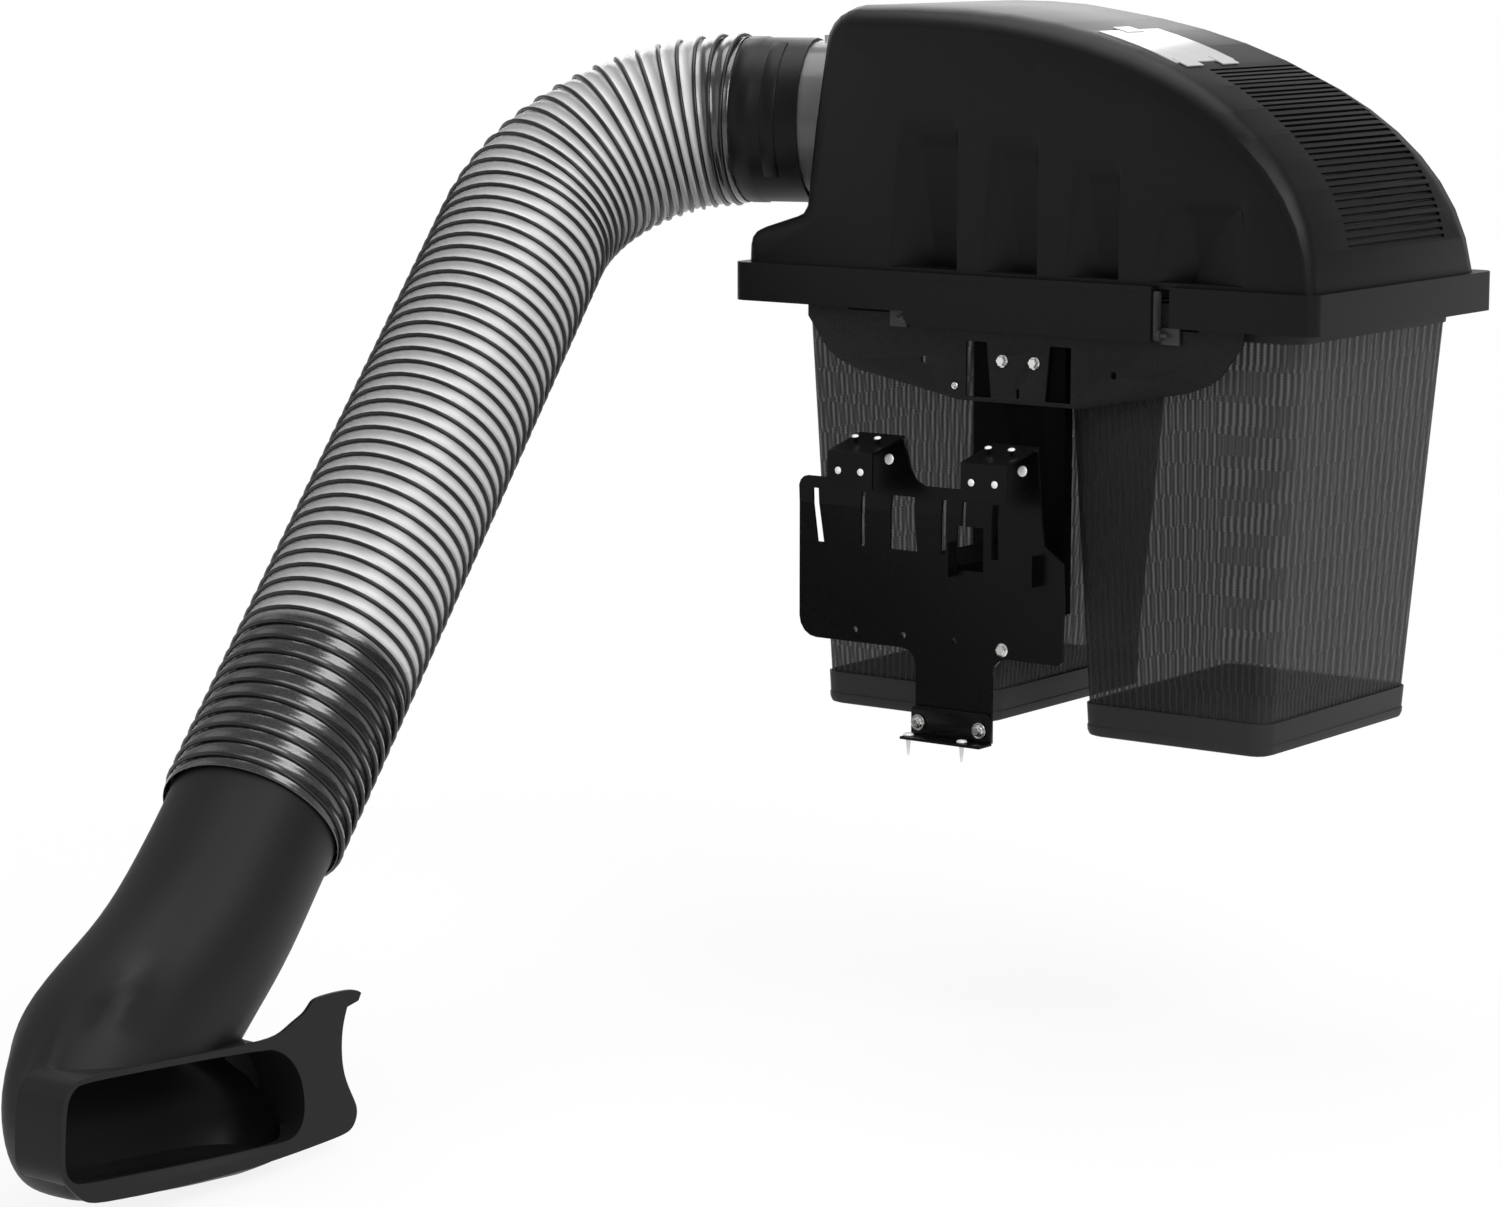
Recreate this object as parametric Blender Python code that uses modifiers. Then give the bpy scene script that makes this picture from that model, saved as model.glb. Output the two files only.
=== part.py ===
# Twin bagger: a two-bag grass collector for the back of a ride-on mower.
# Metres, +Z up, +X to the right as seen from the mower, -Y towards the mower.
# The origin is on the front face of the lower bracket, where the mower's hitch holds it.

import math

import bmesh
import bpy
from mathutils import Matrix, Vector

# General sizes
GAP = 0.0003             # clearance between pieces that touch
TURNS = 28               # sides of a turned piece
BOLT_TURNS = 10          # sides of a bolt
RIVET_TURNS = 8          # sides of a rivet

# Where the hood's rim stands above and behind the origin
HOOD_FRONT = 0.160       # front face of the rim
RIM_BASE = 0.300         # underside of the rim

# Hood
RIM_WIDTH = 0.800
RIM_DEPTH = 0.429
RIM_HEIGHT = 0.046
RIM_LEDGE = 0.012        # ledge from the rim's face in to the hood's wall
RIM_CORNER = 0.006       # rounding of the rim's upright corners
HOOD_WALL = 0.003
CREST_X = -0.170         # highest line of the roof
CREST_HEIGHT = 0.354     # above the rim's underside
ARCH_POWER = 2.15        # roundness of the roof's fall to the right
SHOULDER_RADIUS = 0.048  # between the roof and the neck's wall
NECK_RECESS = 0.082      # how far the neck's wall stands in from the hood's left end
NECK_WALL_LEAN = 0.020   # how far that wall leans in over its height
NECK_WALL_FOOT = 0.116   # height of its foot
LEDGE_HEIGHT = 0.100     # top of the low part beside the neck
LEDGE_FALL = 0.012       # how far that part slopes down to its end
LEDGE_ROUND = 0.022
FRONT_EDGE_LOW = 0.014   # rounding of the front edge at the rim
FRONT_EDGE_TOP = 0.040   # and at the crest
BACK_EDGE_LOW = 0.030
BACK_EDGE_TOP = 0.145
BACK_EDGE_LEFT = 0.046

# Flutes in the hood's front: left edge, right edge, depth at the foot, height of the top
FLUTES = (
    (-0.177, -0.083, 0.062, 0.236),
    (-0.046, 0.028, 0.040, 0.221),
    (0.068, 0.138, 0.038, 0.190),
    (0.182, 0.300, 0.035, 0.150),
)
FLUTE_FOOT = 0.004       # how far a flute starts above the rim's top
FLUTE_SIDE_SLOPE = 0.10  # how much a flute narrows to its top, as a share of its width

# Window in the roof
WINDOW_LEFT = 0.078
WINDOW_RIGHT = 0.182
WINDOW_FRONT = 0.060
WINDOW_BACK = 0.190
WINDOW_THICKNESS = 0.0035
WINDOW_PROUD = 0.001     # how far the pane stands above the roof
TAB_REACH = 0.010        # how far a tab of the pane laps over the roof
TAB_THICKNESS = 0.0015
TAB_WIDTH = 0.036

# Vent slots in the roof's right side
VENT_COUNT = 32
VENT_LEFT = 0.199
VENT_LOW = 0.092         # height of the last slot above the rim's underside
VENT_WIDTH = 0.0042
VENT_FRONT = 0.105
VENT_BACK = 0.332

# Deep middle of the rim's front, which covers the hinges
APRON_LEFT = -0.150
APRON_RIGHT = 0.190
APRON_DROP = 0.017
APRON_PROUD = 0.0006
APRON_CORNER = 0.014
APRON_RETURN = 0.0165    # depth of its folded right end
HINGE_NOTCH = 0.024      # width of the notch for the right hinge arm

# Hinges
HINGE_Y = 0.0112         # hinge axis behind the rim's front face
HINGE_DROP = 0.010       # hinge axis below the rim's underside
HINGE_PIN_RADIUS = 0.0027
HINGE_EYE_RADIUS = 0.0066
HINGE_ARM_THICKNESS = 0.003
HINGE_ARM_HEIGHT = 0.040
HINGE_BASE_WIDTH = 0.022
HINGE_PIN_END = 0.009

# Neck, collar and hose
NECK_HEIGHT = 0.2085     # axis above the rim's underside
NECK_WALL_Y = 0.212      # where the axis crosses the hood's wall, behind the rim's front
NECK_TURN = 20.4         # degrees that the neck heads forward of straight left
NECK_RADIUS = 0.0975
NECK_THICKNESS = 0.0025
NECK_INSIDE = 0.026      # length of the neck inside the hood
NECK_LIP_WIDTH = 0.012
NECK_LIP_HEIGHT = 0.008
COLLAR_RADIUS = 0.1010
COLLAR_START = 0.106     # from the hood's wall to the collar's open end
COLLAR_SHOWN = 0.087     # length of the collar outside the hose
COLLAR_SPIGOT = 0.046    # length of the collar inside the hose
HOSE_BORE = 0.0994       # bore of the hose, over the spigots inside it
COLLAR_BORE = 0.0925     # bore of the spigot
NECK_LAP = 0.060         # length of the neck inside the collar
COLLAR_BEAD = 0.0013     # raised bands on the collar
HOSE_SIDES = 14
HOSE_RADIUS = 0.10675    # over the wire
HOSE_FILM = 0.1043       # over the film between two turns of wire
HOSE_PITCH = 0.0215
HOSE_LEAD = 0.001        # straight start, which keeps its end square to the collar
HOSE_BEND_RADIUS = 0.240 # of the bend behind the collar
HOSE_HEADING = Vector((0.191, -0.746, -0.639)).normalized()
HOSE_STRAIGHT_LENGTH = 0.924 # after the bend
BOOT_SPIGOT = 0.222      # length of the boot inside the hose

# Boot
BOOT_WALL = 0.003
BOOT_WAIST = 0.0965      # radius just outside the hose
BOOT_SIDES = 28
BOOT_POWER = 3.2         # squareness of the body
MOUTH_X = -0.322         # front face of the flange
MOUTH_CENTRE_Y = -1.0446 # from the rim's front face
MOUTH_CENTRE_Z = -0.765  # from the rim's underside
MOUTH_LENGTH = 0.357
MOUTH_HEIGHT = 0.106
MOUTH_TILT = -4.7        # degrees
MOUTH_CORNER = 0.026
MOUTH_BACK_CORNER = 0.070
MOUTH_LIP = 0.004        # wall of the short duct behind the mouth
FLANGE_THICKNESS = 0.004
FLANGE_EDGE = 0.010      # width of the flange above the mouth
FLANGE_FOOT = 0.024      # width of the flange below the mouth
FLANGE_BACK = 0.086      # how far its foot reaches behind the mouth
FLANGE_NECK = 0.056      # how far its narrow part reaches behind the mouth
FLANGE_EAR = 0.049       # height of the ear at its back corner above the mouth
BODY_HALF_DEPTH = 0.066
BODY_HALF_LENGTH = 0.182
BODY_LOW = 0.086         # depth of the floor below the mouth's middle

# Bag frame inside the rim
BAG_MIDDLE = 0.0170      # middle between the bags, right of the rim's middle
FRAME_CLEAR_SIDE = 0.017 # from the frame to the rim's right end
FRAME_CLEAR_BACK = 0.0145
FRAME_HALF_WIDTH = RIM_WIDTH / 2 - BAG_MIDDLE - FRAME_CLEAR_SIDE
FRAME_BACK = RIM_DEPTH - FRAME_CLEAR_BACK
FRAME_BASE = 0.004
FRAME_HEIGHT = 0.024
FRAME_BAR = 0.003
FRAME_MIDDLE = 0.025

# Bags: each is given for the right side, from the middle between them, and mirrored for the left
BAG_TOP_INNER = 0.0255
BAG_CLEAR_SIDE = 0.023   # from the frame in to the net
BAG_CLEAR_BACK = 0.0095
BAG_TAPER_SIDE = 0.036   # how much narrower the floor is
BAG_TAPER_BACK = 0.025
BAG_TOP_OUTER = FRAME_HALF_WIDTH - BAG_CLEAR_SIDE
BAG_TOP_BACK = FRAME_BACK - BAG_CLEAR_BACK
BAG_FRONT = 0.040
BAG_FLOOR_INNER = 0.0625
BAG_FLOOR_OUTER = BAG_TOP_OUTER - BAG_TAPER_SIDE
BAG_FLOOR_BACK = BAG_TOP_BACK - BAG_TAPER_BACK
BAG_DROP = 0.488         # floor below the rim's underside
BAG_CORNER = 0.022
BAG_WALL = 0.002
PAN_HEIGHT = 0.039
PAN_BAND = 0.013         # height of the thicker band round the pan's foot
PAN_BAND_PROUD = 0.001
PAN_EDGE = 0.007
NET_WALL = 0.0015
NET_LAP = 0.005          # how far the net reaches into the pan and the rim
BAND_DROP = 0.014        # plain band of the bag's rim below the hood's rim
LIP_CORNER = 0.012
LIP_SEAT = 0.0105        # how far the lip lies on the frame's middle bar
NET_GAPS_FRONT = 10
NET_GAPS_SIDE = 12
NET_GAP_WIDTH = 0.0062
NET_PLAIN = 0.012        # plain height of net above the pan and below the rim
NET_CORNER = 0.034       # plain width at each corner

# Mount plate
PLATE_THICKNESS = 0.003
PLATE_FRONT = 0.0185     # behind the rim's front face
PLATE_TOP = 0.026        # above the rim's underside, hidden behind the rim
PLATE_HALF = (
    (0.300, -0.015),
    (0.271, -0.054),
    (0.256, -0.064),
    (0.228, -0.075),
    (0.155, -0.088),
    (0.083, -0.102),
)
PLATE_WINDOW = ((0.0435, -0.032), (0.0725, -0.032), (0.0725, -0.097), (0.037, -0.097))
PLATE_SLOT = (0.0, -0.090, 0.004, 0.012)
PLATE_HOLES = ((-0.132, -0.0575), (0.1305, -0.0605))
PLATE_HOLE_RADIUS = 0.0045
MOUNT_BOLTS = ((-0.0215, -0.0525), (0.0225, -0.0525))
SMALL_BOLT = (-0.0875, -0.0855)
SLIT_REACH = (0.168, 0.242)
SLIT_HEIGHT = -0.0035
SLIT_WIDTH = 0.0022

# Post and arm
POST_HALF_WIDTH = 0.0635
POST_DEPTH = 0.0165
POST_WALL = 0.003
POST_TOP = -0.006
POST_FOOT = -0.345
ARM_HALF_WIDTH = 0.040
ARM_HALF_HEIGHT = 0.034
ARM_WALL = 0.003

# Lower bracket, one folded sheet: heights are above or below the origin
SHEET = 0.003
BEND_Z = 0.089
TILT = 9.0               # degrees that the part above the bend leans back
TONGUE_TOP = 0.082       # length of the hook's tongue above the bend
HOOK_REACH = 0.060       # length of the hook's sloping top
HOOK_SLOPE = 13.0        # degrees that it falls
HOOK_FACE = 0.0385       # height of the hook's front
HOOK_LEFT = (-0.109, -0.047)
HOOK_RIGHT = (0.073, 0.134)
BRACKET_LEFT = -0.183
BRACKET_RIGHT = 0.1785
BRACKET_TOP = 0.1205
BRACKET_BOTTOM = -0.068
FOOT_LEFT = -0.0190
FOOT_RIGHT = 0.0855
FOOT_END = -0.1660
FOOT_FILLET = 0.019
BRACKET_CORNER = 0.024
SLOT_TOP = 0.1065
SLOT_BOTTOM = 0.0445
SLOTS = (
    (-0.1660, -0.0085),
    (-0.0965, 0.0),
    (-0.0550, 0.0),
    (0.0145, 0.0),
    (0.0425, 0.0),
    (0.0830, 0.0),
)
SLOT_WIDTHS = (0.0095, 0.0060, 0.0370, 0.0075, 0.0060, 0.0095)
CUT_WINDOW = (0.0360, 0.0720, 0.0285, 0.0790)
TABS = ((0.0315, 0.0215, 0.0610), (0.1440, 0.0200, 0.0550))
TAB_DEPTH = 0.015
BRACKET_HOLES = (-0.1035, -0.0365, 0.0340)
HOLE_ROW = -0.0535
BRACKET_HOLE_RADIUS = 0.0035
BRACKET_BOLT = (0.0990, -0.0570)

# Foot angle
ANGLE_LEFT = -0.0225
ANGLE_RIGHT = 0.0860
ANGLE_TOP = -0.1325
ANGLE_FOOT = -0.1685
ANGLE_REACH = 0.026
ANGLE_CORNER = 0.006
FOOT_BOLTS = ((-0.0127, -0.1515), (0.0708, -0.1520))
FOOT_PINS = (-0.0170, 0.0560)
FOOT_PIN_OUT = 0.0165
FOOT_PIN_LENGTH = 0.023
FOOT_PIN_RADIUS = 0.0032

# Fasteners
BOLT_SHANK = 0.0038
BOLT_HEAD = 0.0078
BOLT_HEAD_HEIGHT = 0.0055
WASHER_RADIUS = 0.0092
WASHER_THICKNESS = 0.0015
SMALL_SHANK = 0.0024
SMALL_HEAD = 0.0048
SMALL_HEAD_HEIGHT = 0.003
RIVET_HEAD = 0.0042
RIVET_SHANK = 0.0020
RIVET_HEAD_HEIGHT = 0.0022
RIVET_STEM = 0.0055      # bare stem of the rivets on top of a hook
BIG_RIVET_HEAD = 0.0062
SHANK_PAST = 0.002       # how far a shank stands out behind the last sheet

# Worked-out places
HOOD_HALF = RIM_WIDTH / 2 - RIM_LEDGE
WALL_FOOT_X = -HOOD_HALF + NECK_RECESS
BEHIND_PLATE = PLATE_FRONT + PLATE_THICKNESS + GAP
BRACKET_BACK = SHEET


def clear_scene():
    """Remove the objects that the scene starts with."""
    for obj in list(bpy.data.objects):
        bpy.data.objects.remove(obj, do_unlink=True)


def make_collection(name):
    """Return a new collection linked to the scene."""
    made = bpy.data.collections.new(name)
    bpy.context.scene.collection.children.link(made)
    return made


def material(name, color, roughness, metallic=0.0):
    """Return a Principled material of one colour."""
    made = bpy.data.materials.new(name)
    made.use_nodes = True
    shader = made.node_tree.nodes["Principled BSDF"]
    shader.inputs["Base Color"].default_value = (*color, 1.0)
    shader.inputs["Roughness"].default_value = roughness
    shader.inputs["Metallic"].default_value = metallic
    made.diffuse_color = (*color, 1.0)
    return made


def in_hood(x, y, z):
    """Return a point that is given from the rim's front and underside."""
    return Vector((x, y + HOOD_FRONT, z + RIM_BASE))


def add(name, mesh, mat, smooth=None):
    """Link a named sub-part with its own material."""
    obj = bpy.data.objects.new(name, mesh)
    PARTS.objects.link(obj)
    own = mat.copy()
    own.name = name
    mesh.materials.clear()
    mesh.materials.append(own)
    if smooth is not None:
        mesh.shade_smooth()
        mesh.set_sharp_from_angle(angle=math.radians(smooth))
    return obj


def add_cutter(name, mesh):
    """Link a cutting or joining body that is not a part."""
    obj = bpy.data.objects.new(name, mesh)
    CUTTERS.objects.link(obj)
    obj.hide_render = True
    obj.display_type = "WIRE"
    return obj


def boolean(obj, other, operation="DIFFERENCE"):
    """Cut a body from an object, or join one to it."""
    mod = obj.modifiers.new(other.name, "BOOLEAN")
    mod.operation = operation
    mod.solver = "EXACT"
    mod.object = other
    return mod


def solidify(obj, thickness, offset=-1.0):
    """Give an open surface its wall, inwards by default."""
    mod = obj.modifiers.new("wall", "SOLIDIFY")
    mod.thickness = thickness
    mod.offset = offset
    mod.use_even_offset = True
    return mod


def settled(obj):
    """Return the object's evaluated mesh as a new mesh."""
    bpy.context.view_layer.update()
    graph = bpy.context.evaluated_depsgraph_get()
    return bpy.data.meshes.new_from_object(obj.evaluated_get(graph))


def mesh_from(bm, name):
    """Turn a bmesh into a mesh with its faces pointing out."""
    bmesh.ops.recalc_face_normals(bm, faces=bm.faces)
    closed = all(edge.is_manifold for edge in bm.edges)
    if closed and bm.calc_volume(signed=True) < 0:
        bmesh.ops.reverse_faces(bm, faces=bm.faces)
    mesh = bpy.data.meshes.new(name)
    bm.to_mesh(mesh)
    bm.free()
    return mesh


def box_into(bm, low, high):
    """Add a box between two corners and return its vertices."""
    low = Vector(low)
    high = Vector(high)
    place = Matrix.Translation((low + high) / 2) @ Matrix.Diagonal((*(high - low), 1.0))
    return bmesh.ops.create_cube(bm, size=1.0, matrix=place)["verts"]


def box_mesh(name, *corners):
    """Return a mesh of one or more boxes, each given by two corners."""
    bm = bmesh.new()
    for low, high in corners:
        box_into(bm, low, high)
    return mesh_from(bm, name)


def rod_mesh(name, start, end, radius, sides=TURNS, end_radius=None):
    """Return a cylinder or a taper between two points."""
    start = Vector(start)
    axis = Vector(end) - start
    turn = axis.to_track_quat("Z", "Y").to_matrix().to_4x4()
    place = Matrix.Translation(start + axis / 2) @ turn
    bm = bmesh.new()
    bmesh.ops.create_cone(
        bm, cap_ends=True, segments=sides, radius1=radius,
        radius2=radius if end_radius is None else end_radius,
        depth=axis.length, matrix=place,
    )
    return mesh_from(bm, name)


def loft_into(bm, rings, close=True):
    """Join rows of points with quads and return the rows of vertices."""
    rows = [[bm.verts.new(point) for point in ring] for ring in rings]
    for row, following in zip(rows, rows[1:]):
        count = len(row) if close else len(row) - 1
        for i in range(count):
            j = (i + 1) % len(row)
            bm.faces.new((row[i], row[j], following[j], following[i]))
    return rows


def arc(centre, radius, start, end, steps):
    """Return points on an arc, angles in degrees."""
    points = []
    for i in range(steps + 1):
        angle = math.radians(start + (end - start) * i / steps)
        points.append((centre[0] + radius * math.cos(angle), centre[1] + radius * math.sin(angle)))
    return points


def rounded_box(x0, x1, y0, y1, radius, steps=3):
    """Return the outline of a rectangle with round corners, anticlockwise."""
    return (
        arc((x1 - radius, y0 + radius), radius, -90, 0, steps)
        + arc((x1 - radius, y1 - radius), radius, 0, 90, steps)
        + arc((x0 + radius, y1 - radius), radius, 90, 180, steps)
        + arc((x0 + radius, y0 + radius), radius, 180, 270, steps)
    )


def circle(x, z, radius, steps=BOLT_TURNS):
    """Return a circle's outline."""
    return arc((x, z), radius, 0, 360 * (steps - 1) / steps, steps - 1)


def flat_mesh(name, outlines, thickness):
    """Return a sheet cut to an outline with holes, lying in XY and centred on its thickness."""
    curve = bpy.data.curves.new(name, "CURVE")
    curve.dimensions = "2D"
    curve.fill_mode = "BOTH"
    curve.extrude = thickness / 2
    for outline in outlines:
        spline = curve.splines.new("POLY")
        spline.points.add(len(outline) - 1)
        for point, (x, y) in zip(spline.points, outline):
            point.co = (x, y, 0.0, 1.0)
        spline.use_cyclic_u = True
    obj = bpy.data.objects.new(name, curve)
    bpy.context.scene.collection.objects.link(obj)
    mesh = settled(obj)
    bpy.data.objects.remove(obj, do_unlink=True)
    bm = bmesh.new()
    bm.from_mesh(mesh)
    bmesh.ops.remove_doubles(bm, verts=bm.verts, dist=1e-6)
    caps = [face for face in bm.faces if len({round(v.co.z, 7) for v in face.verts}) == 1]
    flat = set(caps)
    inner = [edge for edge in bm.edges if all(face in flat for face in edge.link_faces)]
    bmesh.ops.beautify_fill(bm, faces=caps, edges=inner, method="ANGLE")
    bmesh.ops.recalc_face_normals(bm, faces=bm.faces)
    bm.to_mesh(mesh)
    bm.free()
    return mesh


def stand(mesh, front, height=0.0):
    """Turn a flat sheet upright, its front face at a given Y, its zero at a given height."""
    half = max(v.co.z for v in mesh.vertices)
    mesh.transform(Matrix.Translation((0, front + half, height)) @ Matrix.Rotation(math.pi / 2, 4, "X"))
    return mesh


def turned(name, profile, start, axis, mat, steps=TURNS, smooth=40):
    """Return a turned piece: a closed profile of (radius, distance along the axis)."""
    loop = zip(profile, profile[1:] + profile[:1])
    if sum(a[0] * b[1] - b[0] * a[1] for a, b in loop) > 0:
        profile = list(reversed(profile))
    bm = bmesh.new()
    verts = [bm.verts.new((radius, 0.0, along)) for radius, along in profile]
    on_axis = profile[0][0] == 0.0 and profile[-1][0] == 0.0
    for a, b in zip(verts, verts[1:]):
        bm.edges.new((a, b))
    if not on_axis:
        bm.edges.new((verts[-1], verts[0]))
    mesh = bpy.data.meshes.new(name)
    bm.to_mesh(mesh)
    bm.free()
    obj = add(name, mesh, mat)
    screw = obj.modifiers.new("turn", "SCREW")
    screw.axis = "Z"
    screw.steps = steps
    screw.render_steps = steps
    screw.use_merge_vertices = True
    screw.merge_threshold = 0.0001
    screw.use_smooth_shade = False
    obj.location = start
    obj.rotation_mode = "QUATERNION"
    obj.rotation_quaternion = Vector(axis).to_track_quat("Z", "Y")
    return obj


# Hood

def roof_height(x):
    """Return the roof's height above the rim's underside, right of its crest."""
    share = min(max((x - CREST_X) / (HOOD_HALF - CREST_X), 0.0), 1.0)
    return RIM_HEIGHT + (CREST_HEIGHT - RIM_HEIGHT) * (1 - share ** ARCH_POWER) ** (1 / ARCH_POWER)


def roof_point(share):
    """Return a point of the roof's fall by angle, from 0 at the crest to 1 at the rim."""
    angle = share * math.pi / 2
    across = math.sin(angle) ** (2 / ARCH_POWER)
    up = math.cos(angle) ** (2 / ARCH_POWER) if share < 1 else 0.0
    x = CREST_X + (HOOD_HALF - CREST_X) * across
    return x, RIM_HEIGHT + (CREST_HEIGHT - RIM_HEIGHT) * up


def hood_section():
    """Return the hood's outline from the left foot over the roof to the right foot."""
    left = -HOOD_HALF
    wall_top_x = WALL_FOOT_X + NECK_WALL_LEAN
    shoulder = (wall_top_x + SHOULDER_RADIUS, CREST_HEIGHT - SHOULDER_RADIUS)
    end_height = LEDGE_HEIGHT - LEDGE_FALL
    points = [(left, RIM_HEIGHT)]
    points += arc((left + LEDGE_ROUND, end_height - LEDGE_ROUND), LEDGE_ROUND, 180, 100, 3)
    points.append((WALL_FOOT_X - 0.018, LEDGE_HEIGHT + 0.002))
    points.append((WALL_FOOT_X - 0.005, NECK_WALL_FOOT - 0.008))
    points.append((WALL_FOOT_X, NECK_WALL_FOOT))
    middle = (NECK_WALL_FOOT + shoulder[1]) / 2
    points.append((WALL_FOOT_X + NECK_WALL_LEAN * 0.4, middle))
    points += arc(shoulder, SHOULDER_RADIUS, 176, 92, 5)
    points += [roof_point(i / 14) for i in range(15)]
    return points


def section_normals(points):
    """Return the outward directions of the hood's outline; its two feet look straight sideways."""
    normals = []
    for i in range(len(points)):
        before = points[max(i - 1, 0)]
        after = points[min(i + 1, len(points) - 1)]
        normals.append(Vector((-(after[1] - before[1]), after[0] - before[0])).normalized())
    normals[0] = Vector((-1.0, 0.0))
    normals[-1] = Vector((1.0, 0.0))
    return normals


def edge_radius(point, back):
    """Return how round the hood's front or back edge is at a point of its outline."""
    x, z = point
    share = (z - RIM_HEIGHT) / (CREST_HEIGHT - RIM_HEIGHT)
    if not back:
        return FRONT_EDGE_LOW + (FRONT_EDGE_TOP - FRONT_EDGE_LOW) * share
    blend = min(max((x - CREST_X + 0.05) / 0.20, 0.0), 1.0)
    top = BACK_EDGE_LEFT + (BACK_EDGE_TOP - BACK_EDGE_LEFT) * blend
    return BACK_EDGE_LOW + (top - BACK_EDGE_LOW) * share


def hood_rings():
    """Return the rows of points of the hood's skin, from its front wall to its back wall."""
    outline = hood_section()
    normals = section_normals(outline)
    rings = []
    for back in (False, True):
        angles = (0, 30, 60, 90)
        for angle in reversed(angles) if back else angles:
            turn = math.radians(angle)
            ring = []
            for point, normal in zip(outline, normals):
                radius = edge_radius(point, back)
                inset = radius * (1 - math.sin(turn))
                away = radius * (1 - math.cos(turn))
                y = RIM_DEPTH - RIM_LEDGE - away if back else RIM_LEDGE + away
                ring.append(in_hood(point[0] - normal.x * inset, y, point[1] - normal.y * inset))
            rings.append(ring)
    return rings


def rim_loop(height):
    """Return the rim's outline at a height, with as many points as the hood's foot has."""
    half = RIM_WIDTH / 2
    outline = []
    corners = ((half, RIM_DEPTH, 0), (-half, RIM_DEPTH, 90), (-half, 0.0, 180), (half, 0.0, 270))
    for x, y, start in corners:
        inward_x = -math.copysign(RIM_CORNER, x)
        inward_y = RIM_CORNER if y == 0 else -RIM_CORNER
        outline += arc((x + inward_x, y + inward_y), RIM_CORNER, start, start + 90, 3)
    return [in_hood(x, y, height) for x, y in outline]


def hood_skin():
    """Return the hood's outer skin with its ledge and skirt, open underneath."""
    rings = hood_rings()
    bm = bmesh.new()
    rows = loft_into(bm, rings, close=False)
    bm.faces.new(rows[0])
    bm.faces.new(rows[-1])
    half = len(rows) // 2
    right = [row[-1] for row in rows]
    left = [row[0] for row in reversed(rows)]
    foot = right[half:] + left[:half] + left[half:] + right[:half]
    upper = [bm.verts.new(point) for point in rim_loop(RIM_HEIGHT)]
    lower = [bm.verts.new(point) for point in rim_loop(0.0)]
    for inner, outer in ((foot, upper), (upper, lower)):
        for i in range(len(inner)):
            j = (i + 1) % len(inner)
            bm.faces.new((inner[i], inner[j], outer[j], outer[i]))
    return mesh_from(bm, "hood_shell")


def flute_body(name, grow):
    """Return the wedges of the flutes, grown by a wall for the backs of the pockets."""
    bm = bmesh.new()
    front = RIM_LEDGE + (0.0015 if grow else -0.02)
    for index, (left, right, depth, top) in enumerate(FLUTES):
        foot = RIM_HEIGHT + FLUTE_FOOT - grow
        verts = box_into(
            bm, in_hood(left - grow, front, foot), in_hood(right + grow, RIM_LEDGE + depth + grow, top + grow))
        middle = (left + right) / 2
        for v in verts:
            high = v.co.z > RIM_BASE + (foot + top) / 2
            behind = v.co.y > HOOD_FRONT + RIM_LEDGE + 0.004
            if high:
                v.co.x = middle + (v.co.x - middle) * (1 - FLUTE_SIDE_SLOPE)
            if high and behind:
                v.co.y = HOOD_FRONT + RIM_LEDGE - 0.001 + grow
            if behind and not high and index == len(FLUTES) - 1 and v.co.x > middle:
                v.co.y = HOOD_FRONT + RIM_LEDGE - 0.001 + grow
    return mesh_from(bm, name)


def vent_cutter():
    """Return the slots of the vents, evenly spaced down the roof's fall."""
    samples = [roof_point(0.2 + 0.8 * i / 400) for i in range(401)]
    run = [p for p in samples if p[0] >= VENT_LEFT and p[1] >= VENT_LOW]
    lengths = [0.0]
    for a, b in zip(run, run[1:]):
        lengths.append(lengths[-1] + math.dist(a, b))
    bm = bmesh.new()
    for i in range(VENT_COUNT):
        want = lengths[-1] * i / (VENT_COUNT - 1)
        k = next((n for n, value in enumerate(lengths) if value >= want), len(run) - 1)
        k = min(max(k, 1), len(run) - 1)
        x, z = run[k]
        slope = math.atan2(run[k][1] - run[k - 1][1], run[k][0] - run[k - 1][0])
        place = (
            Matrix.Translation(in_hood(x, (VENT_FRONT + VENT_BACK) / 2, z))
            @ Matrix.Rotation(-slope, 4, "Y")
            @ Matrix.Diagonal((VENT_WIDTH, VENT_BACK - VENT_FRONT, HOOD_WALL * 8, 1.0))
        )
        bmesh.ops.create_cube(bm, size=1.0, matrix=place)
    return mesh_from(bm, "vents")


def roof_patch(x0, x1, y0, y1, low, high, name):
    """Return a slab that follows the roof, between two heights above its skin."""
    steps = 4
    bottom = []
    top = []
    for i in range(steps + 1):
        x = x0 + (x1 - x0) * i / steps
        slope = Vector((0.002, roof_height(x + 0.001) - roof_height(x - 0.001))).normalized()
        up = Vector((-slope.y, slope.x))
        z = roof_height(x)
        bottom.append((x + up.x * low, z + up.y * low))
        top.append((x + up.x * high, z + up.y * high))
    outline = bottom + list(reversed(top))
    bm = bmesh.new()
    rows = loft_into(bm, [[in_hood(x, y, z) for x, z in outline] for y in (y0, y1)])
    bm.faces.new(rows[0])
    bm.faces.new(reversed(rows[-1]))
    return mesh_from(bm, name)


def neck_axis():
    """Return the neck's direction out of the hood, and the point where it meets the wall."""
    turn = math.radians(NECK_TURN)
    out = Vector((-math.cos(turn), -math.sin(turn), 0.0))
    wall_x = WALL_FOOT_X + NECK_WALL_LEAN * 0.3
    return out, in_hood(wall_x, NECK_WALL_Y, NECK_HEIGHT)


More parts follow.
